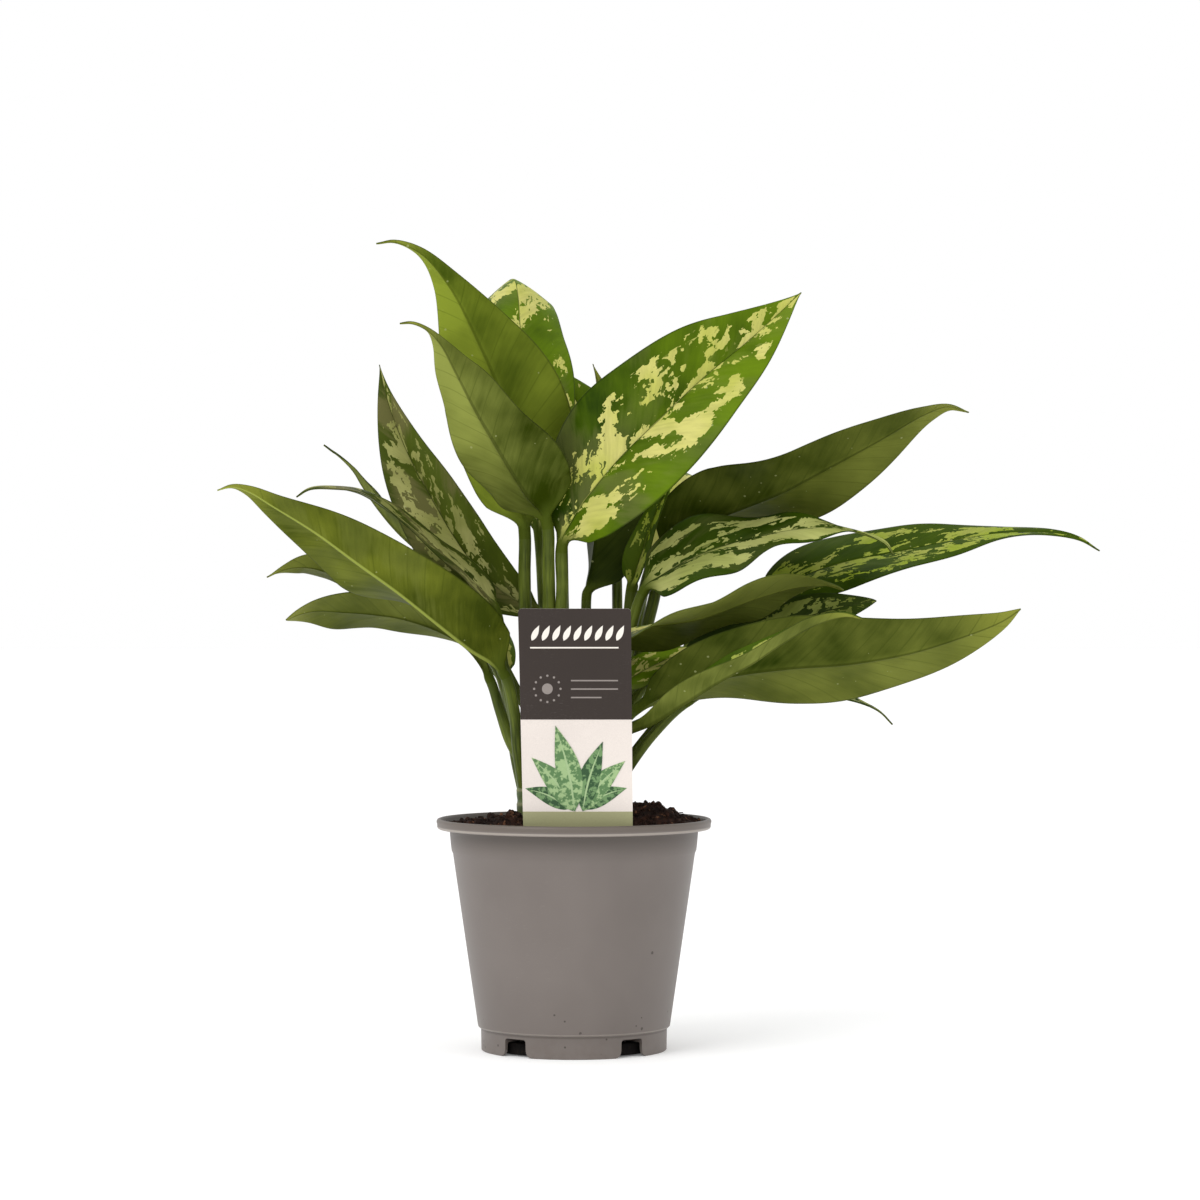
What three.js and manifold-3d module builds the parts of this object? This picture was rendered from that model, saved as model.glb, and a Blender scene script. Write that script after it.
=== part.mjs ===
// A potted Aglaonema with patterned leaves, in a plastic nursery pot, with a tag in the soil.
// Millimetres, +Z up. The plant is laid out about the pot's upright axis, -Y to the front, on a
// ground at GROUND. The finished group is moved so that the origin lies on the ground under the
// middle of its bounding box.
import * as THREE from "three";
import { mergeVertices } from "three/addons/utils/BufferGeometryUtils.js";
import Module from "manifold-3d";

const wasm = await Module();
wasm.setup();

// The gap that two touching pieces keep.
const GAP = 0.3;

// The pot: a tapered wall on a foot ring, a raised floor and a stepped rim.
const GROUND = 3.8;
const POT_TOP = 104.7;
const RIM_RADIUS = 60;
const RIM_BAND = 4.5;
const WALL_TOP_RADIUS = 54.3;
const WALL_FOOT_RADIUS = 42;
const WALL_THICKNESS = 1.1;
const FOOT_RADIUS = 40.5;
const FOOT_THICKNESS = 1.6;
const FOOT_TOP = 13.8;
const FLOOR_BOTTOM = 9.8;
const FLOOR_THICKNESS = 1.2;
const RIM_LIP = 2.3;
const RIM_STEP_DROP = 0.4;
const RIM_STEP_INNER = [0.5, 0.7];
const FLOOR_CORNER = 0.3;
const POT_SIDES = 48;

// The drain notches in the foot ring, as angles from the front, and the holes in the floor.
const NOTCH_ANGLES = [38.5, 141.5, 218.5, 321.5];
const NOTCH_WIDTH = 11.5;
const NOTCH_TOP = 11.7;
const NOTCH_REACH = 9;
const DRAIN_RADIUS = 3.6;
const DRAIN_CIRCLE = 19;
const DRAIN_COUNT = 5;

// The soil: level near the rim, with a heap on the right of the tag and a lower one on the left.
const SOIL_LEVEL = 101.6;
const SOIL_BUMP = 0.5;
const SOIL_RING_STEP = 9;
const SOIL_SIDES = 32;
const HEAPS = [
  { x: 32, y: -14, height: 10.2, spread: 12 },
  { x: -30, y: -22, height: 5, spread: 11 },
  { x: 0, y: 2, height: 3, spread: 16 },
];

// The tag: a plastic board on a tapered stake, leaning a little to the front.
const TAG_THICKNESS = 0.8;
const TAG_TOP = 195.5;
const TAG_SHOULDER = 102.8;
const TAG_SLOPE = 4;
const TAG_POINT = 64;
const TAG_TOP_EDGE = [-23.4, 24.5];
const TAG_FOOT_EDGE = [-21.3, 25.3];
const TAG_STAKE_HALF = 9;
const TAG_STAKE_TIP_HALF = 2.5;
const TAG_CORNER = 1.5;
const TAG_DEPTH = -46.4;
const TAG_LEAN = 3.4;

// The canes: four short stems rooted in the soil, each carrying its own leaves.
const CANE_FOOT_RADIUS = 4.6;
const CANE_TOP_RADIUS = 3.5;
const CANE_SIDES = 12;
const CANES = {
  a: { name: "cane_left", points: [[-20, -2, 80], [-21, -2, 118], [-21.5, -2, 142]] },
  b: { name: "cane_back", points: [[-7, 7, 80], [-9, 8, 120], [-10, 9, 154]] },
  c: { name: "cane_front", points: [[3, -5, 80], [3, -5, 120], [4, -5, 150]] },
  d: { name: "cane_right", points: [[14, 5, 80], [17, 5, 120], [18, 5, 156]] },
};

// The leaves. stalk is the line from the cane to the blade and rib goes on to the tip. stem is
// the stalk's radius and width the blade's widest half. root and tip shape its outline, and face
// is the way its upper face looks, from the blade's root to its tip. lift is how far the left
// and right halves rise from flat, in degrees, at the root and beyond it: left root, left
// blade, right root, right blade. ripple is the height of the edge's waves.
const LEAVES = [
  {
    name: "leaf_upper_left",
    cane: "b",
    width: 28.8, root: 0.62, tip: 1.8, stem: 2.7,
    lift: [4, 4, 50, 6], ripple: 1, waves: 2.5, phase: 0.4,
    stalk: [[-9, 8, 122], [-15, 6, 148], [-20.5, 0, 182], [-21.5, -5, 210]],
    rib: [
      [-21.5, -7, 231], [-26, -12, 256], [-31, -20, 287], [-41, -31, 311.5], [-53, -41, 334.5],
      [-64.5, -46, 347.6], [-76, -49, 352.4], [-83.5, -51, 351.5],
    ],
    face: [[-0.3, 0.95, 0.15], [0, 0.9, 0.35], [0.2, 0.4, 0.9]],
  },
  {
    name: "leaf_upper_front",
    cane: "b",
    width: 23, root: 0.38, tip: 1.45, stem: 2.7,
    lift: [2, 8, 40, 8], ripple: 2.4, waves: 2.5, phase: 5.14,
    stalk: [[-9, 8, 133], [-9.5, -1, 158], [-10.5, -12, 190], [-11, -18, 216]],
    rib: [
      [-12, -22, 235], [-20, -29, 245], [-27, -34, 256], [-34.3, -39, 268.5], [-41.8, -45, 281.5],
      [-49.7, -51, 297], [-55.5, -56, 308], [-61, -59, 314], [-67.5, -61, 317], [-73, -62, 317],
    ],
    face: [[0.1, 0.95, 0.2], [0.2, 0.9, 0.4], [0.2, 0.4, 0.9]],
  },
  {
    name: "leaf_upper_back",
    cane: "b",
    width: 21.5, root: 0.62, tip: 0.9, stem: 2.4,
    lift: [6, -45, 6, -30], ripple: 1, waves: 2, phase: 1,
    stalk: [[-8, 9, 139], [-5, 17, 165], [-5, 20, 205], [-6, 18, 238]],
    rib: [
      [-9, 16, 260], [-18, 21, 294.5], [-23.5, 29, 317], [-25.2, 41, 335], [-27.5, 58, 344],
      [-33, 80, 341], [-37, 100, 331], [-40, 114, 319],
    ],
    face: [[0.1, -0.95, 0.2], [0.1, -0.6, 0.7], [0.1, 0.3, 0.9]],
  },
  {
    name: "leaf_centre_tall",
    cane: "c",
    width: 30.3, root: 0.7, tip: 1.15, stem: 2.6,
    lift: [4, 35, 16, 10], ripple: 0.8, waves: 2, phase: 0,
    stalk: [[3, -5, 137], [-1.5, -10, 158], [-5.5, -14, 185], [-5, -16, 206]],
    rib: [
      [-5, -18, 224], [1, -23, 237], [8, -28, 247], [21, -34, 262], [38, -38, 278.5],
      [55.5, -38, 295], [73, -34, 309.5], [87, -29, 322], [98, -24, 332.5],
    ],
    face: [[-0.3, -0.93, 0.2], [-0.3, -0.9, 0.3], [-0.25, -0.9, 0.3]],
  },
  {
    name: "leaf_right_high",
    cane: "d",
    width: 25.6, root: 0.49, tip: 1.06, stem: 2.6,
    lift: [60, 4, -4, -12], ripple: 1.7, waves: 2, phase: 4.45,
    stalk: [[17, 5, 136], [26, 10, 165], [34, 13, 196]],
    rib: [
      [40, 12.5, 218], [48, 10, 227], [58, 7, 234], [72, 3, 239.5], [90, -4, 246.8], [110, -11, 257.4],
      [132, -20, 269.3], [151, -27, 280.2], [161, -31, 283.4], [169.3, -34, 280.6],
    ],
    face: [[-0.3, 0.9, 0.2], [-0.3, 0.8, 0.5], [-0.1, 0.6, 0.8]],
  },
  {
    name: "leaf_right_arching",
    cane: "d",
    width: 19.5, root: 0.52, tip: 1.6, stem: 2.4,
    lift: [4, -12, 22, 14], ripple: 2.6, waves: 3, phase: 3.4,
    stalk: [[17, 5, 140], [20, -5, 163], [25, -13, 188]],
    rib: [
      [31, -18, 205], [40, -21, 212], [54, -23, 219.5], [72, -24, 225.5], [93, -27, 230],
      [114, -30, 231], [127, -32, 227.5], [134, -34, 224], [137, -35, 219.5],
    ],
    face: [[-0.2, -0.85, 0.5], [-0.1, -0.75, 0.65], [0, -0.5, 0.85]],
  },
  {
    name: "leaf_right_far",
    cane: "d",
    width: 19.8, root: 0.62, tip: 1.7, stem: 2.5,
    lift: [-8, -4, 12, 12], ripple: 1.2, waves: 2.6, phase: 0.5,
    stalk: [[15, 5, 108], [23, 6.5, 126.5], [37, 8.5, 145.5], [60, 10, 172.5]],
    rib: [
      [82, 10, 197], [97, 10, 208.5], [119, 10, 216.5], [142, 10, 221], [164, 8, 225.5],
      [186, 6, 229], [208, 3, 229.2], [221, 1, 226.6], [229.5, 0, 221.5],
    ],
    face: [[-0.2, -0.75, 0.6], [-0.1, -0.65, 0.75], [0, -0.5, 0.85]],
  },
  {
    name: "leaf_right_waved",
    cane: "c",
    width: 22.5, root: 0.52, tip: 0.8, stem: 2.3,
    lift: [6, 6, -50, -8], ripple: 2.2, waves: 2.4, phase: 2.4,
    stalk: [[3, -5, 127], [7, -15, 151], [8, -20, 170]],
    rib: [
      [9.5, -22.5, 184], [26.5, -28.5, 188.5], [54, -35, 192.5], [78, -38, 201], [94, -37, 205.5],
      [104, -35, 206.5], [111, -31, 206.5], [116, -26, 204.5],
    ],
    face: [[-0.2, 0.65, 0.6], [-0.2, 0.42, 0.8], [0.5, 0.5, 0.7]],
  },
  {
    name: "leaf_right_shaded",
    cane: "d",
    width: 12.8, root: 0.6, tip: 0.76, stem: 2,
    lift: [4, 4, 4, 4], ripple: 0.8, waves: 2, phase: 0.2,
    stalk: [[17, 5, 126], [22, 1, 148], [33, 2, 165]],
    rib: [
      [46, 2, 176], [63, -1.5, 182.5], [81, -6.5, 188], [98, -11, 192], [115, -14, 196.5],
      [131, -15.5, 199.8],
    ],
    face: [[0, -0.75, 0.65], [0, -0.75, 0.65]],
  },
  {
    name: "leaf_right_low",
    cane: "c",
    width: 24.6, root: 0.52, tip: 1.02, stem: 2.5,
    lift: [24, 8, 10, 10], ripple: 1.2, waves: 2, phase: 0.8,
    stalk: [[3, -5, 119], [10, -14, 132], [19, -20, 145]],
    rib: [
      [28, -24, 154], [47, -31, 162.5], [67, -38, 168], [92, -45, 171.5], [117, -52, 173.5],
      [142, -58, 178], [163, -63, 184.6], [180, -67, 191.5], [188, -69, 196.8],
    ],
    face: [[0.1, 0.75, 0.6], [0.1, 0.75, 0.65], [0.1, 0.7, 0.7]],
  },
  {
    name: "leaf_right_folded",
    cane: "c",
    width: 12, root: 0.9, tip: 1, stem: 2.4,
    lift: [50, 50, 50, 50], ripple: 1.2, waves: 2, phase: 2.2,
    stalk: [[3, -5, 109], [5, -15, 122], [9, -24, 133]],
    rib: [
      [15, -31, 140], [34, -44, 148.5], [47, -56, 157], [60, -64, 165.5], [75, -69, 174],
      [87, -71, 182], [101, -72, 190], [113.5, -73, 193.7], [121.6, -73, 192.7],
    ],
    face: [[-0.2, 0, 0.95], [-0.3, 0, 0.9], [-0.2, -0.3, 0.9]],
  },
  {
    name: "leaf_right_drooping",
    cane: "d",
    width: 12, root: 0.62, tip: 1.6, stem: 2.1,
    lift: [10, 10, 10, 10], ripple: 0.8, waves: 2, phase: 0.2,
    stalk: [[15, 5, 112], [22.5, -0.5, 125], [35, -4, 142]],
    rib: [
      [50, -7, 156], [70, -8, 163], [92, -9, 163.5], [112, -9, 159], [125, -9, 155.5],
      [133, -9, 151.5], [138.5, -9, 146],
    ],
    face: [[0, -0.4, 0.9], [0, -0.2, 0.95]],
  },
  {
    name: "leaf_right_small",
    cane: "c",
    width: 9, root: 0.62, tip: 1, stem: 1.8,
    lift: [10, 10, 10, 10], ripple: 0.6, waves: 2, phase: 0.2,
    stalk: [[4, -4, 131], [10, -5, 142], [14, -9, 151]],
    rib: [[17, -12, 160], [28, -11.5, 168], [39, -10, 173.5], [48, -8.5, 177], [55, -7, 179]],
    face: [[-0.3, -0.75, 0.6], [-0.2, -0.7, 0.65]],
  },
  {
    name: "leaf_left_broad",
    cane: "a",
    width: 24.6, root: 0.45, tip: 1.18, stem: 2.5,
    lift: [6, 6, 80, 15], ripple: 1.2, waves: 2, phase: 0.8,
    stalk: [[-21, -2, 116], [-24, -8, 134], [-26, -11, 152]],
    rib: [
      [-30.5, -14, 168.5], [-45, -21, 179], [-58, -29, 189.5], [-75, -39, 203.5], [-92, -49, 216.2],
      [-109, -58, 229], [-126, -65, 239.8], [-136, -69, 246], [-143, -71, 248],
      [-149, -72, 246.5],
    ],
    face: [[0.3, 0.8, 0.5], [0.2, 0.8, 0.5], [0.1, 0.7, 0.7]],
  },
  {
    name: "leaf_left_low",
    cane: "a",
    width: 16.5, root: 1.0, tip: 0.75, stem: 2.2,
    lift: [-6, -2, 45, 8], ripple: 1.6, waves: 2, phase: 0.2,
    stalk: [[-21, -2, 127], [-28, 3, 138.5], [-32.5, 5.5, 151.5]],
    rib: [
      [-37, 7, 165.3], [-46, 9.6, 178.3], [-57.5, 10, 185.8], [-75, 4.5, 192], [-88, -1, 194],
      [-101, -7, 195], [-112, -11, 195.5], [-119, -14, 194], [-124.5, -17, 191.5],
    ],
    face: [[0.1, 0.6, 0.6], [0.1, 0.6, 0.75], [0, 0.6, 0.8]],
  },
  {
    name: "leaf_left_hidden",
    cane: "a",
    width: 14, root: 0.62, tip: 1.2, stem: 2,
    lift: [10, 10, 10, 10], ripple: 1, waves: 2, phase: 0.2,
    stalk: [[-21, -2, 128], [-27, 9, 150], [-35, 19.5, 171], [-48, 20.5, 187], [-61, 13.5, 197]],
    rib: [
      [-74, 3, 202], [-92, -5, 208], [-105, -10, 212], [-116, -16, 214.5], [-125, -18, 213.5],
      [-132.5, -20, 210],
    ],
    face: [[0.1, 0.4, 0.9], [0.1, 0.5, 0.8]],
  },
  {
    name: "leaf_left_upright",
    cane: "b",
    width: 18.6, root: 0.9, tip: 1.3, stem: 2.4,
    lift: [12, 12, 44, 44], ripple: 0.8, waves: 2, phase: 0.2,
    stalk: [[-10, 9, 147], [-12, 13, 168], [-10.5, 13, 184]],
    rib: [
      [-14, 12, 193], [-23.5, 11, 198.5], [-33.5, 11, 205], [-43.2, 12, 214.5], [-52.7, 15, 227.5],
      [-62.8, 18, 244.5], [-71.8, 21, 261], [-78.7, 23, 277], [-83.4, 25, 291], [-86.3, 27, 304],
    ],
    face: [[-0.1, -0.8, 0.5], [-0.1, -0.95, 0.2], [-0.1, -0.95, 0.1]],
  },
  {
    name: "leaf_left_back",
    cane: "b",
    width: 10, root: 0.62, tip: 1.9, stem: 2,
    lift: [25, 25, 25, 25], ripple: 0.6, waves: 2, phase: 0.2,
    stalk: [[-9.5, 9, 128], [-20, 17, 150], [-36, 22, 180], [-52, 26, 205]],
    rib: [
      [-64, 29, 218], [-78.5, 32, 231], [-88, 35, 242], [-94, 37, 250.5], [-98.5, 39, 257.5],
      [-104.5, 41, 263.5], [-112, 43, 269],
    ],
    face: [[0.7, 0.1, 0.6], [0.7, -0.1, 0.7]],
  },
  {
    name: "leaf_left_arching",
    cane: "a",
    width: 15, root: 0.62, tip: 1.2, stem: 2.1,
    lift: [6, 4, 10, 6], ripple: 0.8, waves: 2, phase: 0.2,
    stalk: [[-21, -2, 133], [-26.5, -5, 150], [-31, -6, 174]],
    rib: [
      [-34, -7, 196], [-45.5, -10, 210], [-58, -14, 221], [-71, -18, 232], [-82, -21, 240.5],
      [-92.5, -24, 246.5], [-103, -27, 248.5], [-113, -29, 248], [-119, -30, 244.5],
    ],
    face: [[0.3, -0.45, 0.8], [0.4, -0.16, 0.95], [-0.2, -0.15, 0.9]],
  },
  {
    name: "leaf_centre_dark",
    cane: "c",
    width: 22, root: 0.55, tip: 1.3, stem: 2.2,
    lift: [4, 4, 55, 40], ripple: 0.8, waves: 2, phase: 0.2,
    stalk: [[4, -4, 142], [7, 3, 168], [5.5, 7, 190]],
    rib: [
      [5.5, 8, 202], [8.5, 12, 218], [10.5, 18, 236], [12, 25, 254], [13.5, 31, 271],
      [13, 36, 286], [10.8, 39, 296], [8.2, 41, 305],
    ],
    face: [[0.5, 0.85, 0.1], [0.45, 0.88, 0.1]],
  },
  {
    name: "leaf_centre_back",
    cane: "d",
    width: 15, root: 0.62, tip: 1.1, stem: 2.2,
    lift: [10, 10, 10, 10], ripple: 1, waves: 2, phase: 0.2,
    stalk: [[17, 6, 131], [18.5, 16, 165], [19, 30, 200], [18, 44, 232]],
    rib: [[15, 52, 252], [10, 57, 268], [4, 60, 283], [-4, 63, 296], [-13, 66, 305]],
    face: [[0.2, -0.9, 0.3], [0.3, -0.8, 0.5]],
  },
  {
    name: "leaf_centre_young",
    cane: "d",
    width: 7.5, root: 0.62, tip: 1.9, stem: 2.6,
    lift: [30, 30, 30, 30], ripple: 0.3, waves: 2, phase: 0.2,
    stalk: [[18, 5, 149], [22, 5, 170], [24, 4, 192]],
    rib: [
      [25.5, 2.5, 206], [29.5, -2, 220], [34, -6, 233], [38.5, -8, 244], [43, -10, 252.5],
      [48, -11, 259.5], [51.5, -11, 262.5],
    ],
    face: [[-0.5, -0.8, 0.3], [-0.5, -0.8, 0.3]],
  },
  {
    name: "leaf_back_right",
    cane: "d",
    width: 14, root: 0.62, tip: 1.25, stem: 2.4,
    lift: [10, 10, 10, 10], ripple: 1.6, waves: 2.3, phase: 0.7,
    stalk: [[16.5, 6, 120], [23, 14, 150], [28, 26, 190]],
    rib: [
      [33, 38, 212], [42, 52, 232], [52, 70, 246], [60, 90, 252], [66, 108, 249], [70, 122, 240],
      [72, 131, 230],
    ],
    face: [[0.1, -0.75, 0.5], [0.1, -0.4, 0.85], [0.1, 0.3, 0.9]],
  },
  {
    name: "leaf_back_left",
    cane: "b",
    width: 17, root: 0.62, tip: 1.25, stem: 2.3,
    lift: [10, 10, 10, 10], ripple: 1.6, waves: 2.3, phase: 2.1,
    stalk: [[-8.5, 8, 124], [-12, 24, 158], [-14, 32, 200]],
    rib: [
      [-16, 37, 230], [-20, 50, 252], [-27, 68, 270], [-35, 90, 283], [-42, 110, 287],
      [-47, 126, 281], [-50, 136, 272],
    ],
    face: [[0, -0.75, 0.5], [-0.1, -0.4, 0.85], [-0.1, 0.3, 0.9]],
  },
  {
    name: "leaf_back_low",
    cane: "c",
    width: 20, root: 0.62, tip: 1.2, stem: 2.4,
    lift: [10, 10, 10, 10], ripple: 1.8, waves: 2.5, phase: 1.4,
    stalk: [[3.5, -4, 122], [4, 10, 143], [3, 22, 160]],
    rib: [
      [2, 32, 172], [0, 46, 181], [-1, 64, 187], [1, 84, 188], [5, 104, 183], [9, 121, 172],
      [12, 133, 158],
    ],
    face: [[0.1, -0.5, 0.8], [0.1, -0.1, 0.95], [0.1, 0.5, 0.8]],
  },
  {
    name: "leaf_back_side",
    cane: "a",
    width: 13.5, root: 0.62, tip: 1.25, stem: 2.3,
    lift: [10, 10, 10, 10], ripple: 1.5, waves: 2.2, phase: 0.1,
    stalk: [[-21, -1, 113], [-25.5, 8, 131], [-28.5, 18, 149]],
    rib: [
      [-32, 28, 164], [-39, 44, 180], [-47, 64, 193], [-54, 85, 201], [-61, 104, 203],
      [-67, 119, 200], [-70, 129, 194],
    ],
    face: [[0.2, -0.5, 0.8], [0.2, -0.1, 0.95], [0, 0.4, 0.9]],
  },
];

// Leaf shapes.
const LEAF_THICKNESS = 0.75;
const RIDGE_DEPTH = 1.2;
const TIP_HALF = 0.5;
const STALK_FLARE = 0.25;
const STALK_STEPS = 5;
const BLADE_STEPS = 14;
const MORPH_SHARE = 0.07;
const COLUMNS = [-1, -0.5, 0, 0.5, 1];
const RING = 2 * COLUMNS.length;
const SAMPLES = 40;
const BLADE_CROWDING = 1.15;
const LIFT_START = 0.12;
const LIFT_SPAN = 0.4;
const EDGE_LAG = 0.9;
const TANGENT_REACH = 2;

const PLASTIC_TAUPE = new THREE.Color(0x827a74);
const SOIL_BROWN = new THREE.Color(0x2a1b15);
const CANE_GREEN = new THREE.Color(0x3f5a22);
const LEAF_GREEN = new THREE.Color(0x3f7a1c);
const TAG_CREAM = new THREE.Color(0xefe6df);

const group = new THREE.Group();

function addMesh(name, geometry, color, roughness) {
  geometry.computeVertexNormals();
  const material = new THREE.MeshStandardMaterial({ color, roughness, metalness: 0 });
  const mesh = new THREE.Mesh(geometry, material);
  mesh.name = name;
  group.add(mesh);
}

function toSolid(geometry) {
  const bare = new THREE.BufferGeometry();
  bare.setAttribute("position", geometry.getAttribute("position"));
  bare.setIndex(geometry.getIndex());
  const merged = mergeVertices(bare, 1e-4);
  return new wasm.Manifold(new wasm.Mesh({
    numProp: 3,
    vertProperties: new Float32Array(merged.getAttribute("position").array),
    triVerts: new Uint32Array(merged.getIndex().array),
  }));
}

function toGeometry(solid) {
  const mesh = solid.getMesh();
  const geometry = new THREE.BufferGeometry();
  geometry.setAttribute("position", new THREE.BufferAttribute(mesh.vertProperties, 3));
  geometry.setIndex(new THREE.BufferAttribute(mesh.triVerts, 1));
  return geometry;
}

// The largest of the pieces that a cut leaves, so that no crumb stays beside it.
function largest(solid) {
  const pieces = solid.decompose();
  return pieces.reduce((best, piece) => (piece.volume() > best.volume() ? piece : best));
}

function smooth(x) {
  const q = THREE.MathUtils.clamp(x, 0, 1);
  return q * q * (3 - 2 * q);
}

// A closed body through rings of equal size. Each ring runs over the upper side from left to
// right and back under it, and both sides are split along the same diagonals.
function loft(rings) {
  const count = rings[0].length;
  const half = count / 2;
  const positions = rings.flat().flatMap((p) => [p.x, p.y, p.z]);
  const index = [];
  for (let i = 0; i < rings.length - 1; i++) {
    for (let j = 0; j < count; j++) {
      const a = i * count + j;
      const b = i * count + ((j + 1) % count);
      const c = b + count;
      const d = a + count;
      if (j < half) index.push(a, b, c, a, c, d);
      else index.push(a, b, d, b, c, d);
    }
  }
  const last = (rings.length - 1) * count;
  for (let j = 0; j < half - 1; j++) {
    const under = count - 1 - j;
    index.push(under, j + 1, j, under, under - 1, j + 1);
    index.push(last + j, last + j + 1, last + under, last + j + 1, last + under - 1, last + under);
  }
  const geometry = new THREE.BufferGeometry();
  geometry.setAttribute("position", new THREE.Float32BufferAttribute(positions, 3));
  geometry.setIndex(index);
  return geometry;
}

// A smooth line through points, with the length run at each of its samples.
function traceLine(points) {
  const curve = new THREE.CatmullRomCurve3(
    points.map((p) => new THREE.Vector3(...p)), false, "centripetal");
  const samples = curve.getPoints(SAMPLES * (points.length - 1));
  const lengths = [0];
  for (let i = 1; i < samples.length; i++) {
    lengths.push(lengths[i - 1] + samples[i].distanceTo(samples[i - 1]));
  }
  return { samples, lengths };
}

function pointAt(line, length) {
  const { samples, lengths } = line;
  const s = THREE.MathUtils.clamp(length, 0, lengths.at(-1));
  let i = lengths.findIndex((l) => l >= s);
  i = Math.max(i, 1);
  const share = (s - lengths[i - 1]) / (lengths[i] - lengths[i - 1]);
  return samples[i - 1].clone().lerp(samples[i], share);
}

// Where a section of a line stands and how it is turned: along the line, up towards the upper
// face, and across to the side.
function frameAt(line, length, face) {
  const along = pointAt(line, length + TANGENT_REACH)
    .sub(pointAt(line, length - TANGENT_REACH)).normalize();
  const up = face.clone();
  up.addScaledVector(along, -up.dot(along)).normalize();
  const side = new THREE.Vector3().crossVectors(along, up);
  return { middle: pointAt(line, length), along, up, side };
}

function placed(frame, across, up) {
  return frame.middle.clone().addScaledVector(frame.side, across).addScaledVector(frame.up, up);
}

// A round section with its corners in the order of a ring.
function roundRing(frame, radius, corners) {
  const ring = [];
  for (let j = 0; j < corners; j++) {
    const angle = Math.PI - ((j + 0.5) / corners) * 2 * Math.PI;
    ring.push(placed(frame, radius * Math.cos(angle), radius * Math.sin(angle)));
  }
  return ring;
}

function faceAt(leaf, share) {
  const faces = leaf.face.map((f) => new THREE.Vector3(...f).normalize());
  const x = THREE.MathUtils.clamp(share, 0, 1) * (faces.length - 1);
  const i = Math.min(Math.floor(x), faces.length - 2);
  return faces[i].clone().lerp(faces[i + 1], x - i);
}

function halfWidth(leaf, t) {
  const peak = leaf.root / (leaf.root + leaf.tip);
  const rise = (t / peak) ** leaf.root;
  const fall = ((1 - t) / (1 - peak)) ** leaf.tip;
  const blade = leaf.width * rise * fall;
  const stem = leaf.stem * (1 - t) ** 4;
  return Math.max(Math.hypot(blade, stem), TIP_HALF);
}

function bladeRing(leaf, frame, t) {
  const half = halfWidth(leaf, t);
  const turn = smooth((t - LIFT_START) / LIFT_SPAN);
  const waveShare = Math.sqrt(Math.max(Math.sin(Math.PI * t), 0));
  const ridge = RIDGE_DEPTH * (1 - t) ** 1.5;
  const above = [];
  const below = [];
  for (const u of COLUMNS) {
    const hand = Math.sign(u);
    const [rootLift, bladeLift] = u < 0 ? leaf.lift.slice(0, 2) : leaf.lift.slice(2, 4);
    const lift = THREE.MathUtils.degToRad(rootLift + (bladeLift - rootLift) * turn);
    const swing = Math.sin(2 * Math.PI * leaf.waves * t + leaf.phase + EDGE_LAG * hand);
    const wave = leaf.ripple * Math.abs(u) ** 1.5 * swing * waveShare;
    const across = half * u * Math.cos(lift);
    const up = half * Math.abs(u) * Math.sin(lift) + wave;
    const normalAcross = -hand * Math.sin(lift) * (LEAF_THICKNESS / 2);
    const normalUp = Math.cos(lift * Math.abs(hand)) * (LEAF_THICKNESS / 2);
    const keel = u === 0 ? ridge : 0;
    above.push(placed(frame, across + normalAcross, up + normalUp));
    below.push(placed(frame, across - normalAcross, up - normalUp - keel));
  }
  return [...above, ...below.reverse()];
}

function leafLine(leaf) {
  const line = traceLine([...leaf.stalk, ...leaf.rib]);
  line.bladeStart = line.lengths[SAMPLES * leaf.stalk.length];
  line.end = line.lengths.at(-1);
  return line;
}

function stalkRings(leaf, line, extra, steps) {
  const rings = [];
  for (let i = 0; i < steps; i++) {
    const share = i / STALK_STEPS;
    const radius = leaf.stem * (1 + STALK_FLARE * (1 - share) ** 2) + extra;
    const frame = frameAt(line, share * line.bladeStart, faceAt(leaf, 0));
    rings.push(roundRing(frame, radius, RING));
  }
  return rings;
}

// A stalk alone, thicker by the gap, as the space that its neighbours leave free.
function stalkSpace(leaf) {
  return toSolid(loft(stalkRings(leaf, leafLine(leaf), GAP, STALK_STEPS + 1)));
}

// A whole leaf: its stalk, morphing over the first of the blade into the leaf's thin section.
function leafSolid(leaf) {
  const line = leafLine(leaf);
  const rings = stalkRings(leaf, line, 0, STALK_STEPS);
  for (let i = 0; i <= BLADE_STEPS; i++) {
    const t = (i / BLADE_STEPS) ** BLADE_CROWDING;
    const length = line.bladeStart + t * (line.end - line.bladeStart);
    const frame = frameAt(line, length, faceAt(leaf, t));
    const flat = bladeRing(leaf, frame, t);
    const round = roundRing(frame, leaf.stem, RING);
    const share = smooth(t / MORPH_SHARE);
    rings.push(flat.map((p, j) => round[j].lerp(p, share)));
  }
  return toSolid(loft(rings));
}

// A cane, tapering upwards to a rounded end.
function caneSolid(cane, extra) {
  const line = traceLine(cane.points);
  const end = line.lengths.at(-1);
  const face = new THREE.Vector3(0, 1, 0);
  const rings = [];
  const heights = [0, 0.25, 0.5, 0.75, 0.93, 0.98, 1];
  const shares = [1, 1, 1, 1, 1, 0.8, 0.35];
  heights.forEach((height, i) => {
    const taper = CANE_FOOT_RADIUS + (CANE_TOP_RADIUS - CANE_FOOT_RADIUS) * height;
    const frame = frameAt(line, height * end, face);
    if (i === 0) frame.middle.z -= extra;
    if (height > 0.95) frame.middle.z += extra;
    rings.push(roundRing(frame, taper * shares[i] + extra, CANE_SIDES));
  });
  return toSolid(loft(rings));
}

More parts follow.
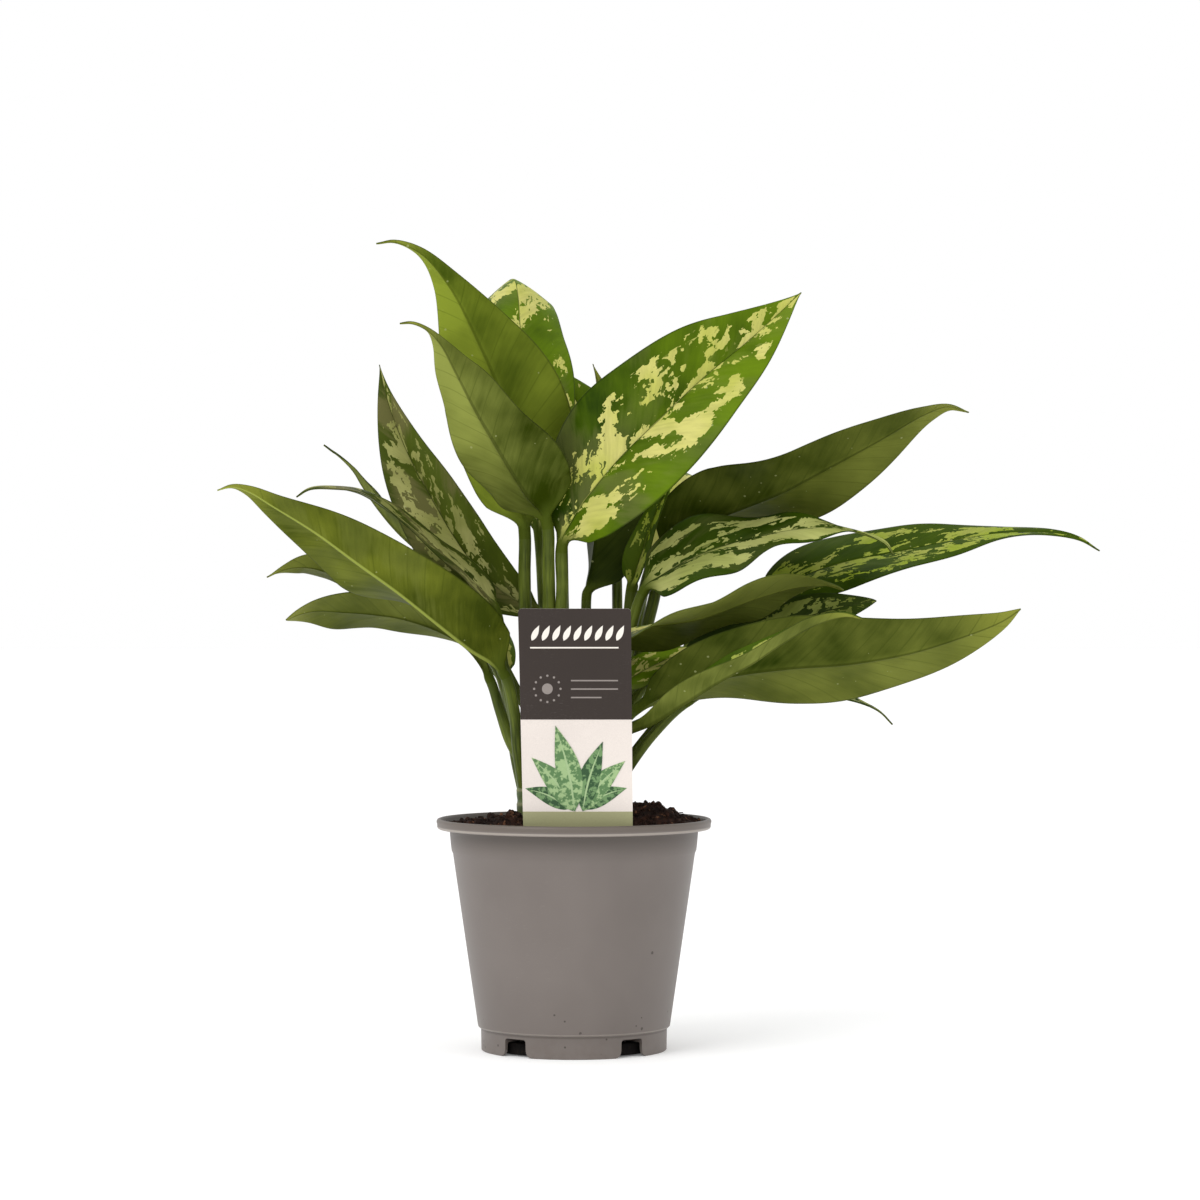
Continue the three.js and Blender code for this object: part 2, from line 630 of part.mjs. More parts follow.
// Pot.
function potSolid() {
  const rimUnder = POT_TOP - RIM_BAND;
  const floorTop = FLOOR_BOTTOM + FLOOR_THICKNESS;
  const wallInnerTop = WALL_TOP_RADIUS - WALL_THICKNESS;
  const wallInnerFoot = WALL_FOOT_RADIUS - WALL_THICKNESS;
  const floorEdge = FOOT_RADIUS - FOOT_THICKNESS + FLOOR_CORNER;
  const profile = [
    [0, FLOOR_BOTTOM],
    [FOOT_RADIUS - FOOT_THICKNESS, FLOOR_BOTTOM],
    [FOOT_RADIUS - FOOT_THICKNESS, GROUND],
    [FOOT_RADIUS, GROUND],
    [FOOT_RADIUS + 0.1, FOOT_TOP],
    [WALL_FOOT_RADIUS, FOOT_TOP + 1],
    [WALL_TOP_RADIUS, rimUnder - RIM_STEP_DROP],
    [RIM_RADIUS - 1.6, rimUnder],
    [RIM_RADIUS - 0.4, rimUnder + 0.5],
    [RIM_RADIUS, rimUnder + 1.5],
    [RIM_RADIUS, POT_TOP - 1.2],
    [RIM_RADIUS - 0.5, POT_TOP - 0.2],
    [RIM_RADIUS - 1.2, POT_TOP],
    [RIM_RADIUS - 1.9, POT_TOP - 0.4],
    [RIM_RADIUS - RIM_LIP, rimUnder + RIM_STEP_INNER[1]],
    [wallInnerTop, rimUnder + RIM_STEP_INNER[0]],
    [wallInnerFoot, FOOT_TOP + 1.4],
    [floorEdge, floorTop],
    [0, floorTop],
  ].map(([r, z]) => new THREE.Vector2(r, z));
  const lathe = new THREE.LatheGeometry(profile, POT_SIDES).rotateX(Math.PI / 2);
  let solid = toSolid(lathe);
  for (const angle of NOTCH_ANGLES) {
    const depth = 2 * NOTCH_REACH;
    const height = 2 * (NOTCH_TOP - GROUND);
    const box = new THREE.BoxGeometry(NOTCH_WIDTH, depth, height);
    box.translate(0, -FOOT_RADIUS, GROUND);
    box.rotateZ(THREE.MathUtils.degToRad(angle));
    solid = solid.subtract(toSolid(box));
  }
  for (let i = 0; i < DRAIN_COUNT; i++) {
    const hole = new THREE.CylinderGeometry(DRAIN_RADIUS, DRAIN_RADIUS, 4 * FLOOR_THICKNESS, 16);
    hole.rotateX(Math.PI / 2);
    hole.translate(0, -DRAIN_CIRCLE, FLOOR_BOTTOM + FLOOR_THICKNESS / 2);
    hole.rotateZ((i / DRAIN_COUNT) * 2 * Math.PI);
    solid = solid.subtract(toSolid(hole));
  }
  return solid;
}

// The tag's outline, grown all round by extra, standing on its stake.
function tagSolid(extra) {
  const middle = (TAG_FOOT_EDGE[0] + TAG_FOOT_EDGE[1]) / 2;
  const shape = new THREE.Shape();
  shape.moveTo(middle - TAG_STAKE_TIP_HALF - extra, TAG_POINT - extra);
  shape.lineTo(middle + TAG_STAKE_TIP_HALF + extra, TAG_POINT - extra);
  shape.lineTo(middle + TAG_STAKE_HALF + extra, TAG_SHOULDER - TAG_SLOPE - extra);
  shape.lineTo(TAG_FOOT_EDGE[1] + extra, TAG_SHOULDER - extra);
  shape.lineTo(TAG_TOP_EDGE[1] + extra, TAG_TOP - TAG_CORNER);
  shape.lineTo(TAG_TOP_EDGE[1] - TAG_CORNER, TAG_TOP + extra);
  shape.lineTo(TAG_TOP_EDGE[0] + TAG_CORNER, TAG_TOP + extra);
  shape.lineTo(TAG_TOP_EDGE[0] - extra, TAG_TOP - TAG_CORNER);
  shape.lineTo(TAG_FOOT_EDGE[0] - extra, TAG_SHOULDER - extra);
  shape.lineTo(middle - TAG_STAKE_HALF - extra, TAG_SHOULDER - TAG_SLOPE - extra);
  const depth = TAG_THICKNESS + 2 * extra;
  const board = new THREE.ExtrudeGeometry(shape, { depth, bevelEnabled: false });
  board.translate(0, -TAG_SHOULDER, -depth / 2);
  board.rotateX(Math.PI / 2 + THREE.MathUtils.degToRad(TAG_LEAN));
  board.translate(0, TAG_DEPTH, TAG_SHOULDER);
  return toSolid(board);
}

function soilTop(x, y) {
  let z = SOIL_LEVEL;
  for (const heap of HEAPS) {
    const away = (x - heap.x) ** 2 + (y - heap.y) ** 2;
    z += heap.height * Math.exp(-away / (2 * heap.spread ** 2));
  }
  return z + SOIL_BUMP * Math.sin(0.45 * x + 1) * Math.sin(0.5 * y + 2);
}

// The soil's body fills the pot from the floor to just over the step of the rim.
function soilSolid() {
  const rimUnder = POT_TOP - RIM_BAND;
  const floorTop = FLOOR_BOTTOM + FLOOR_THICKNESS;
  const wallInnerTop = WALL_TOP_RADIUS - WALL_THICKNESS;
  const wallInnerFoot = WALL_FOOT_RADIUS - WALL_THICKNESS;
  const floorEdge = FOOT_RADIUS - FOOT_THICKNESS + FLOOR_CORNER;
  const edge = RIM_RADIUS - RIM_LIP - 2 * GAP;
  const side = [
    [floorEdge - 1.5 * GAP, floorTop + GAP],
    [wallInnerFoot - 1.5 * GAP, FOOT_TOP + 1.4 + GAP],
    [wallInnerTop - 1.5 * GAP, rimUnder + RIM_STEP_INNER[0] + GAP],
    [edge, rimUnder + RIM_STEP_INNER[1] + GAP],
  ];
  const rings = side.map(([r, z]) => ({ r, z }));
  for (let r = edge; r > 1; r -= SOIL_RING_STEP) rings.push({ r });
  const positions = [0, 0, floorTop + GAP];
  const index = [];
  rings.forEach((ring, i) => {
    for (let j = 0; j < SOIL_SIDES; j++) {
      const angle = (j / SOIL_SIDES) * 2 * Math.PI;
      const x = ring.r * Math.cos(angle);
      const y = ring.r * Math.sin(angle);
      const z = ring.z ?? Math.max(soilTop(x, y), SOIL_LEVEL);
      positions.push(x, y, z);
      const here = 1 + i * SOIL_SIDES + j;
      const next = 1 + i * SOIL_SIDES + ((j + 1) % SOIL_SIDES);
      if (i === 0) index.push(0, next, here);
      else index.push(here - SOIL_SIDES, next - SOIL_SIDES, next, here - SOIL_SIDES, next, here);
    }
  });
  const top = positions.length / 3;
  positions.push(0, 0, soilTop(0, 0));
  for (let j = 0; j < SOIL_SIDES; j++) {
    const ringStart = top - SOIL_SIDES;
    index.push(ringStart + j, ringStart + ((j + 1) % SOIL_SIDES), top);
  }
  const geometry = new THREE.BufferGeometry();
  geometry.setAttribute("position", new THREE.Float32BufferAttribute(positions, 3));
  geometry.setIndex(index);
  return toSolid(geometry);
}

addMesh("pot", toGeometry(potSolid()), PLASTIC_TAUPE, 0.6);

let soil = soilSolid().subtract(tagSolid(GAP));
for (const cane of Object.values(CANES)) soil = soil.subtract(caneSolid(cane, GAP));
addMesh("soil", toGeometry(soil), SOIL_BROWN, 0.95);

addMesh("plant_tag", toGeometry(tagSolid(0)), TAG_CREAM, 0.4);

for (const cane of Object.values(CANES)) {
  addMesh(cane.name, toGeometry(caneSolid(cane, 0)), CANE_GREEN, 0.5);
}

// Each leaf gives way to the canes and to the stalks of the leaves before it.
const spaces = Object.values(CANES).map((cane) => caneSolid(cane, GAP));
for (const leaf of LEAVES) {
  let solid = leafSolid(leaf);
  for (const space of spaces) solid = solid.subtract(space);
  addMesh(leaf.name, toGeometry(largest(solid)), LEAF_GREEN, 0.45);
  spaces.push(stalkSpace(leaf));
}

// The origin goes under the middle of the bounding box.
const box = new THREE.Box3().setFromObject(group);
group.position.set(-(box.min.x + box.max.x) / 2, -(box.min.y + box.max.y) / 2, -box.min.z);

export default group;
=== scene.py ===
# A potted Aglaonema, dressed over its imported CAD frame.
import math

import bmesh
import bpy
import numpy as np
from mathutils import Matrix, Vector, noise


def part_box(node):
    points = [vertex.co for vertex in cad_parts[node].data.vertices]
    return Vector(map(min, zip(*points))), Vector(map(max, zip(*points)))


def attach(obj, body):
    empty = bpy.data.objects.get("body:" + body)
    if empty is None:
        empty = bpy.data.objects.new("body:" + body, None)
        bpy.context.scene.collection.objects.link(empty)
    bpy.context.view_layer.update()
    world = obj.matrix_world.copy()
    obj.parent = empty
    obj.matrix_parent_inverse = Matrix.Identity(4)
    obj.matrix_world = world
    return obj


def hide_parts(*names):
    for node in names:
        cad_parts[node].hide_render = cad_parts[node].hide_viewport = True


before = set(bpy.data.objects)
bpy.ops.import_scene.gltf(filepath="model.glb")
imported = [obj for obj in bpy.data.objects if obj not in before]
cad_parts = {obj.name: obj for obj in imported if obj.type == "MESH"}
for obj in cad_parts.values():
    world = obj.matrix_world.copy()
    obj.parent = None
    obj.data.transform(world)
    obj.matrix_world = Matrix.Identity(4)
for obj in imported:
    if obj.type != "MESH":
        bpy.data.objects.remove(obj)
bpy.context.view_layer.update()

# Camera.
# The photograph was taken level with the leaves, from well in front, so that the pot's rim shows
# as a thin ellipse. Places are in millimetres about the pot's upright axis, ground at GROUND.
MM = 0.001
GROUND = 3.8
LENS, SENSOR = 123.7, 36
CAMERA_PLACE = (11.35, -1800, 213)
AIM_HEIGHT = 200
pot_low, pot_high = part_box("pot")
POT_AXIS = Vector(((pot_low.x + pot_high.x) / 2, (pot_low.y + pot_high.y) / 2, 0))


def at(x, y, z):
    """A place in millimetres about the pot's axis, as a point of the part's own frame."""
    return POT_AXIS + Vector((x, y, z - GROUND)) * MM


camera_data = bpy.data.cameras.new("photo_camera")
camera_data.lens = LENS
camera_data.sensor_width = SENSOR
camera_data.clip_end = 60
camera = bpy.data.objects.new("photo_camera", camera_data)
camera.location = at(*CAMERA_PLACE)
camera_aim = at(CAMERA_PLACE[0], 0, AIM_HEIGHT) - camera.location
camera.rotation_euler = camera_aim.to_track_quat("-Z", "Y").to_euler()
bpy.context.scene.collection.objects.link(camera)
bpy.context.scene.camera = camera

# Pot.
# A nursery pot moulded in one piece of thin taupe plastic: a tapered wall on a foot ring, with
# four drain notches cut in the ring, five holes in the floor and a stepped rim with a lip.
POT_SEGMENTS = 192
POT_PROFILE = [
    (0, 9.8), (38.2, 9.8), (38.7, 9.6), (38.9, 9.0), (38.95, 4.2), (39.3, 3.8), (40.1, 3.8),
    (40.45, 4.15), (40.6, 13.2), (40.8, 13.65), (41.5, 13.9), (41.9, 14.3), (42.05, 15.2),
    (44.65, 33), (47.4, 52), (50.15, 71), (51.75, 82), (52.8, 89.4), (53.1, 90.2), (53.45, 91),
    (53.8, 94), (54.1, 97.5), (54.25, 99.2), (54.6, 99.8), (55.2, 100.05), (57.8, 100.1),
    (58.9, 100.25), (59.5, 100.6), (59.75, 101.2), (59.7, 101.8), (59.8, 102.6), (60, 103.2),
    (59.95, 103.9), (59.6, 104.45), (59, 104.7), (58.45, 104.65), (58.05, 104.2), (57.85, 103.3),
    (57.7, 101.7), (57.35, 101.15), (56.5, 100.95), (54, 100.85), (53.35, 100.6), (53.05, 99.9),
    (51.1, 86), (49.05, 71), (46.3, 52), (43.55, 33), (40.95, 15.3), (39.9, 13.2), (39.3, 11.3),
    (38.7, 11.0), (0, 11.0),
]
NOTCH_ANGLES = (38.5, 141.5, 218.5, 321.5)
NOTCH_OUTLINE = [
    (-8.4, 2.8), (-8.1, 3.9), (-7.2, 4.25), (-6.4, 4.95), (-5.9, 5.9), (-5.7, 7.1), (-5.65, 10.6),
    (-5.3, 11.4), (-4.7, 11.7), (4.7, 11.7), (5.3, 11.4), (5.65, 10.6), (5.7, 7.1), (5.9, 5.9),
    (6.4, 4.95), (7.2, 4.25), (8.1, 3.9), (8.4, 2.8),
]
NOTCH_FROM, NOTCH_TO = 31.5, 49.5
DRAIN_RADIUS, DRAIN_CIRCLE, DRAIN_COUNT = 3.6, 19, 5
DRAIN_FROM, DRAIN_TO = 8, 13
DRAIN_SEGMENTS = 32
PLASTIC_TAUPE = (110, 102, 97)
PLASTIC_DARK = (101, 93, 88)
POT_DIRT = (84, 72, 63)
POT_SCUFF = (146, 138, 131)
POT_SPECK = (44, 34, 28)
# Rings of another colour, in metres above the ground: painted shade under the rim, a painted
# highlight on its lower lip, soil on its crown, and a line of painted shade under the ledge over
# the foot with a painted highlight along the ledge.
PLASTIC_LIGHT_AND_SOIL_BANDS = [
    (0.0958, 0.0961, 0.012, 0.75, (74, 66, 60)), (0.0966, 0.0974, 0.0003, 0.65, (166, 157, 148)),
    (0.0986, 0.2, 0.0012, 0.6, (84, 74, 64)), (0.0091, 0.0095, 0.0004, 0.5, (72, 64, 58)),
    (0.01, 0.0105, 0.0003, 0.55, (152, 144, 136)),
]


def paint(red, green, blue):
    """A colour given as it looks on a screen, as the linear colour a shader takes."""
    linear = []
    for part in (red, green, blue):
        share = part / 255
        linear.append(share / 12.92 if share <= 0.04045 else ((share + 0.055) / 1.055) ** 2.4)
    return (*linear, 1)


def new_piece(name, points, faces, materials=(), face_material=None, smooth=True):
    """A mesh object at the origin, with its place in its mesh and its faces turned outwards."""
    mesh = bpy.data.meshes.new(name)
    mesh.from_pydata([tuple(p) for p in points], [], faces)
    for material in materials:
        mesh.materials.append(material)
    if face_material is not None:
        mesh.polygons.foreach_set("material_index", face_material)
    work = bmesh.new()
    work.from_mesh(mesh)
    bmesh.ops.recalc_face_normals(work, faces=work.faces)
    for face in work.faces:
        face.smooth = smooth
    work.to_mesh(mesh)
    work.free()
    piece = bpy.data.objects.new(name, mesh)
    bpy.context.scene.collection.objects.link(piece)
    return piece


def plain_mesh(piece):
    """The piece's mesh with its modifiers worked in, and the modifiers removed."""
    depsgraph = bpy.context.evaluated_depsgraph_get()
    mesh = bpy.data.meshes.new_from_object(piece.evaluated_get(depsgraph))
    piece.modifiers.clear()
    piece.data = mesh


def ring_at(radius, height, segments):
    """A ring of places about the pot's axis, at a height or on a surface, or one place on it."""
    places = []
    for i in range(segments if radius else 1):
        turn = 2 * math.pi * i / segments
        x, y = radius * math.cos(turn), radius * math.sin(turn)
        places.append(at(x, y, height(x, y) if callable(height) else height))
    return places


def stacked(rings):
    """Points and faces through rings of places, with a single place closing either end."""
    points = [p for ring in rings for p in ring]
    faces, start = [], 0
    for lower, upper in zip(rings, rings[1:]):
        count = max(len(lower), len(upper))
        above = start + len(lower)
        for i in range(count):
            k = (i + 1) % count
            if len(lower) == 1:
                faces.append((start, above + k, above + i))
            elif len(upper) == 1:
                faces.append((start + i, start + k, above))
            else:
                faces.append((start + i, start + k, above + k, above + i))
        start = above
    return points, faces


def turned(profile, segments):
    """Points and faces of a profile turned about the pot's axis."""
    return stacked([ring_at(r, z, segments) for r, z in profile])


def disc(middle, radius, steps=24):
    """A round outline."""
    angles = np.linspace(0, 2 * math.pi, steps, endpoint=False)
    return [(middle[0] + radius * math.cos(a), middle[1] + radius * math.sin(a)) for a in angles]


def prism(outline, placed, near, far):
    """Points and faces of a flat outline drawn out from near to far."""
    count = len(outline)
    points = [placed(a, b, near) for a, b in outline] + [placed(a, b, far) for a, b in outline]
    faces = [tuple(range(count)), tuple(range(2 * count - 1, count - 1, -1))]
    for i in range(count):
        k = (i + 1) % count
        faces.append((i, k, count + k, count + i))
    return points, faces


def cut_out(piece, block):
    """Cuts a block, given as its points and faces, out of a piece's mesh."""
    cutter = new_piece("cutter", *block, smooth=False)
    cut = piece.modifiers.new("cut", "BOOLEAN")
    cut.operation, cut.object, cut.solver = "DIFFERENCE", cutter, "EXACT"
    plain_mesh(piece)
    bpy.data.objects.remove(cutter)


def feed(tree, node, inputs):
    """Sets a node's inputs to values, or joins them to other nodes' sockets."""
    for key, value in inputs.items():
        if isinstance(value, bpy.types.NodeSocket):
            tree.links.new(value, node.inputs[key])
        else:
            node.inputs[key].default_value = value


def add_node(tree, kind, inputs=None, **settings):
    """One node with its settings and its inputs."""
    new = tree.nodes.new(kind)
    for key, value in settings.items():
        setattr(new, key, value)
    feed(tree, new, inputs or {})
    return new


def reckon(tree, operation, first, second=0.5, clamp=False):
    """The result of one sum on values or sockets."""
    inputs = {0: first, 1: second}
    return add_node(tree, "ShaderNodeMath", inputs, operation=operation, use_clamp=clamp).outputs[0]


def mixed(tree, share, first, second):
    """Two colours mixed by a share."""
    inputs = {0: share, 6: first, 7: second}
    return add_node(tree, "ShaderNodeMix", inputs, data_type="RGBA").outputs[2]


def spread(tree, value, low, high, to_low=0.0, to_high=1.0, soft=False):
    """A value moved from one range to another and kept inside it."""
    kind = "SMOOTHSTEP" if soft else "LINEAR"
    inputs = {0: value, 1: low, 2: high, 3: to_low, 4: to_high}
    return add_node(tree, "ShaderNodeMapRange", inputs, interpolation_type=kind).outputs[0]


def grain(tree, vector, scale, detail=2.0, roughness=0.5, distortion=0.0):
    """A noise texture's value at a place."""
    inputs = {"Vector": vector, "Scale": scale, "Detail": detail, "Roughness": roughness,
              "Distortion": distortion}
    return add_node(tree, "ShaderNodeTexNoise", inputs).outputs["Fac"]


def stretched(tree, vector, scale):
    """A place scaled by its own amount on each axis."""
    return add_node(tree, "ShaderNodeMapping", {"Vector": vector, "Scale": scale}).outputs[0]


def cell_pattern(tree, vector, scale, **settings):
    """A cell pattern's outputs, and three chance values that each cell keeps."""
    pattern = add_node(tree, "ShaderNodeTexVoronoi", {"Vector": vector, "Scale": scale}, **settings)
    chance = add_node(tree, "ShaderNodeSeparateColor", {"Color": pattern.outputs["Color"]})
    return pattern.outputs, chance.outputs


def bump(tree, strength, distance, height):
    """The normal of a surface with a low relief of some height."""
    inputs = {"Strength": strength, "Distance": distance, "Height": height}
    return add_node(tree, "ShaderNodeBump", inputs).outputs[0]


def new_material(name):
    """A material with a Principled shader, and its node tree."""
    material = bpy.data.materials.new(name)
    material.use_nodes = True
    tree = material.node_tree
    shader = tree.nodes["Principled BSDF"]
    return material, tree, shader


def new_group(name, inputs, outputs):
    """A shader node group with named sockets, its inlet and its outlet."""
    group = bpy.data.node_groups.new(name, "ShaderNodeTree")
    for label, kind, value in inputs:
        socket = group.interface.new_socket(label, in_out="INPUT", socket_type=kind)
        if value is not None:
            socket.default_value = value
    for label, kind in outputs:
        group.interface.new_socket(label, in_out="OUTPUT", socket_type=kind)
    inlet = group.nodes.new("NodeGroupInput")
    outlet = group.nodes.new("NodeGroupOutput")
    return group, inlet.outputs, outlet.inputs


# Fine dust, soil specks and scuffs, used by the pot's and the tag's plastic.
worn, worn_in, worn_out = new_group(
    "soil_specks_and_scuffs",
    [("Place", "NodeSocketVector", None), ("Speck size", "NodeSocketFloat", 0.001),
     ("Speck share", "NodeSocketFloat", 0.1), ("Scuff size", "NodeSocketFloat", 0.02)],
    [("Specks", "NodeSocketFloat"), ("Scuffs", "NodeSocketFloat"), ("Clouds", "NodeSocketFloat")],
)
speck_scale = reckon(worn, "DIVIDE", 1.0, worn_in["Speck size"])
speck_cells, speck_chance = cell_pattern(worn, worn_in["Place"], speck_scale)
speck_kept = reckon(worn, "LESS_THAN", speck_chance[0], worn_in["Speck share"])
speck_reach = spread(worn, speck_chance[1], 0, 1, 0.12, 0.34)
speck_near = reckon(worn, "LESS_THAN", speck_cells["Distance"], speck_reach)
worn.links.new(reckon(worn, "MULTIPLY", speck_kept, speck_near), worn_out["Specks"])
scuff_scale = reckon(worn, "DIVIDE", 1.0, worn_in["Scuff size"])
scuff_place = stretched(worn, worn_in["Place"], (1, 1, 7))
scuff_lines = grain(worn, scuff_place, scuff_scale, 6, 0.65, 0.4)
scuff_where = grain(worn, worn_in["Place"], 26, 1, 0.5)
scuffs_there = spread(worn, scuff_where, 0.5, 0.62)
scuffs = reckon(worn, "MULTIPLY", spread(worn, scuff_lines, 0.6, 0.72), scuffs_there)
worn.links.new(scuffs, worn_out["Scuffs"])
worn.links.new(grain(worn, worn_in["Place"], 17, 3, 0.55), worn_out["Clouds"])


def pot_plastic():
    """Clouded taupe plastic, bands of painted shade and highlight and of soil, foot dirt, scuffs, soil
    specks.
    """
    material, tree, shader = new_material("moulded_taupe_plastic")
    place = add_node(tree, "ShaderNodeTexCoord").outputs["Object"]
    height = add_node(tree, "ShaderNodeSeparateXYZ", {0: place}).outputs["Z"]
    wear = add_node(tree, "ShaderNodeGroup", {
        "Place": place, "Speck size": 0.0022, "Scuff size": 0.0022,
        "Speck share": spread(tree, height, 0.0, 0.024, 0.1, 0.0012),
    }, node_tree=worn).outputs
    clouds = spread(tree, wear["Clouds"], 0.35, 0.68)
    colour = mixed(tree, clouds, paint(*PLASTIC_DARK), paint(*PLASTIC_TAUPE))
    # Painted shade under the rim and the ledge, painted highlights on the lip and the ledge, soil on
    # the crown.
    for low, high, fade, share, tint in PLASTIC_LIGHT_AND_SOIL_BANDS:
        rise = spread(tree, height, low - fade, low, 0.0, share, soft=True)
        fall = spread(tree, height, high, high + 0.0004, 1.0, 0.0, soft=True)
        colour = mixed(tree, reckon(tree, "MULTIPLY", rise, fall), colour, paint(*tint))
    near_foot = spread(tree, height, 0.0, 0.016, 0.3, 0.0)
    dirt = spread(tree, grain(tree, place, 130, 4, 0.6), 0.42, 0.62)
    colour = mixed(tree, reckon(tree, "MULTIPLY", near_foot, dirt), colour, paint(*POT_DIRT))
    scuffs = reckon(tree, "MULTIPLY", wear["Scuffs"], 0.3)
    colour = mixed(tree, scuffs, colour, paint(*POT_SCUFF))
    specks = reckon(tree, "MULTIPLY", wear["Specks"], 0.75)
    rough = spread(tree, wear["Clouds"], 0.3, 0.7, 0.42, 0.54)
    moulded = grain(tree, place, 1500, 2, 0.5)
    flow = grain(tree, stretched(tree, place, (1, 1, 0.3)), 60, 2, 0.5)
    heights = reckon(tree, "ADD", reckon(tree, "MULTIPLY", moulded, 0.25), flow)
    feed(tree, shader, {
        "Base Color": mixed(tree, specks, colour, paint(*POT_SPECK)),
        "Roughness": reckon(tree, "ADD", rough, reckon(tree, "MULTIPLY", scuffs, 0.6), clamp=True),
        "Specular IOR Level": 0.5,
        "Normal": bump(tree, 0.12, 0.0004, heights),
    })
    return material


pot = new_piece("pot_moulding", *turned(POT_PROFILE, POT_SEGMENTS), [pot_plastic()])
for notch_angle in NOTCH_ANGLES:
    turn = math.radians(notch_angle - 90)
    outward = Vector((math.cos(turn), math.sin(turn), 0))
    across = Vector((-math.sin(turn), math.cos(turn), 0))

    def notch_place(a, b, r, outward=outward, across=across):
        """A place of a notch's outline, at a distance from the pot's axis."""
        return at(*(outward * r + across * a + Vector((0, 0, b))))

    cut_out(pot, prism(NOTCH_OUTLINE, notch_place, NOTCH_FROM, NOTCH_TO))
for drain in range(DRAIN_COUNT):
    turn = 2 * math.pi * drain / DRAIN_COUNT - math.pi / 2
    middle = (DRAIN_CIRCLE * math.cos(turn), DRAIN_CIRCLE * math.sin(turn))
    drain_outline = disc(middle, DRAIN_RADIUS, DRAIN_SEGMENTS)
    cut_out(pot, prism(drain_outline, at, DRAIN_FROM, DRAIN_TO))
pot.data.set_sharp_from_angle(angle=math.radians(35))
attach(pot, "root")
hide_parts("pot")

# Soil.
# Dark peat with bits of reddish bark and fibre, heaped a little on the right of the tag. It
# fills the pot down to its floor. A heap is given as its place, height and reach.
SOIL_LEVEL = 101.6
SOIL_EDGE = 57.1
SOIL_RINGS, SOIL_SEGMENTS = 62, 220
HEAPS = [(32, -14, 10.2, 12), (-30, -22, 5, 11), (0, 2, 3, 16)]
SOIL_SIDE = [
    (0, 11.3), (38.4, 11.3), (40.4, 15.5), (52.5, 99.9), (53.2, 101), (56.6, 101.2), (57.1, 101.4),
]
PEAT_DARK = (33, 21, 16)
PEAT_RED = (84, 50, 35)
PEAT_BARK = (122, 84, 60)
PEAT_CRUMB_SHADE = (20, 13, 11)


def soil_height(x, y):
    """The peat's surface: its level and heaps, then its lumps, quiet at the pot's rim."""
    height = SOIL_LEVEL
    for heap_x, heap_y, heap_height, reach in HEAPS:
        away = (x - heap_x) ** 2 + (y - heap_y) ** 2
        height += heap_height * math.exp(-away / (2 * reach ** 2))
    calm = min(1.0, max(0.0, (SOIL_EDGE - math.hypot(x, y)) / 6))
    lumps = 1.5 * noise.noise(Vector((x, y, 3)) / 7) + 1.1 * noise.noise(Vector((x, y, 9)) / 3.1)
    crumbs = 0.9 * noise.noise(Vector((x, y, 17)) / 1.4)
    return height + (lumps + crumbs) * (0.25 + 0.75 * calm)


def peat():
    """Dark crumbly peat with reddish bits, a few pale ones of bark, and painted shade between crumbs.
    """
    material, tree, shader = new_material("dark_peat")
    place = add_node(tree, "ShaderNodeTexCoord").outputs["Object"]
    chance = cell_pattern(tree, place, 650)[1]
    broad = grain(tree, place, 110, 5, 0.62)
    share = reckon(tree, "MULTIPLY", spread(tree, broad, 0.42, 0.72), chance[0])
    colour = mixed(tree, share, paint(*PEAT_DARK), paint(*PEAT_RED))
    bark = reckon(tree, "GREATER_THAN", chance[1], 0.965)
    colour = mixed(tree, reckon(tree, "MULTIPLY", bark, 0.7), colour, paint(*PEAT_BARK))
    # Painted shade: near-black patches stand for the shade between the crumbs.
    crumb_shade = spread(tree, grain(tree, place, 380, 3, 0.6), 0.3, 0.52, 0.8, 0.0)
    feed(tree, shader, {
        "Base Color": mixed(tree, crumb_shade, colour, paint(*PEAT_CRUMB_SHADE)),
        "Roughness": 0.95,
        "Specular IOR Level": 0.2,
        "Normal": bump(tree, 0.7, 0.0008, grain(tree, place, 900, 6, 0.7)),
    })
    return material


soil_rings = [ring_at(r, z, SOIL_SEGMENTS) for r, z in SOIL_SIDE]
for k in range(1, SOIL_RINGS + 1):
    soil_rings.append(ring_at(SOIL_EDGE * (1 - k / SOIL_RINGS), soil_height, SOIL_SEGMENTS))
peat_material = peat()
soil = new_piece("soil_fill", *stacked(soil_rings), [peat_material])
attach(soil, "root")
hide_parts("soil")

# Notch shade.
# A near-black plug fills the space under the floor, as painted shade seen through the notches. It
# is coloured as wet peat with threads of root.
NOTCH_SHADE_PROFILE = [(0, 4.4), (36.2, 4.4), (36.8, 5.2), (37, 9.5), (0, 9.5)]
NOTCH_SHADE_DARK = (10, 7, 6)
NOTCH_SHADE_THREAD = (24, 17, 13)


def notch_shade_roots():
    """Painted shade for the notches: nearly black, with threads like old root."""
    material, tree, shader = new_material("notch_shade_roots")
    place = add_node(tree, "ShaderNodeTexCoord").outputs["Object"]
    threads = grain(tree, stretched(tree, place, (1, 1, 0.3)), 700, 4, 0.65, 1.2)
    feed(tree, shader, {
        "Base Color": mixed(tree, spread(tree, threads, 0.5, 0.66), paint(*NOTCH_SHADE_DARK), paint(*NOTCH_SHADE_THREAD)),
        "Roughness": 0.9,
        "Specular IOR Level": 0.15,
        "Normal": bump(tree, 0.6, 0.0006, threads),
    })
    return material


# The plug is painted shade, not a part of the pot or its soil.
notch_shade_plug = new_piece("notch_shade_plug", *turned(NOTCH_SHADE_PROFILE, SOIL_SEGMENTS), [notch_shade_roots()])
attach(notch_shade_plug, "root")

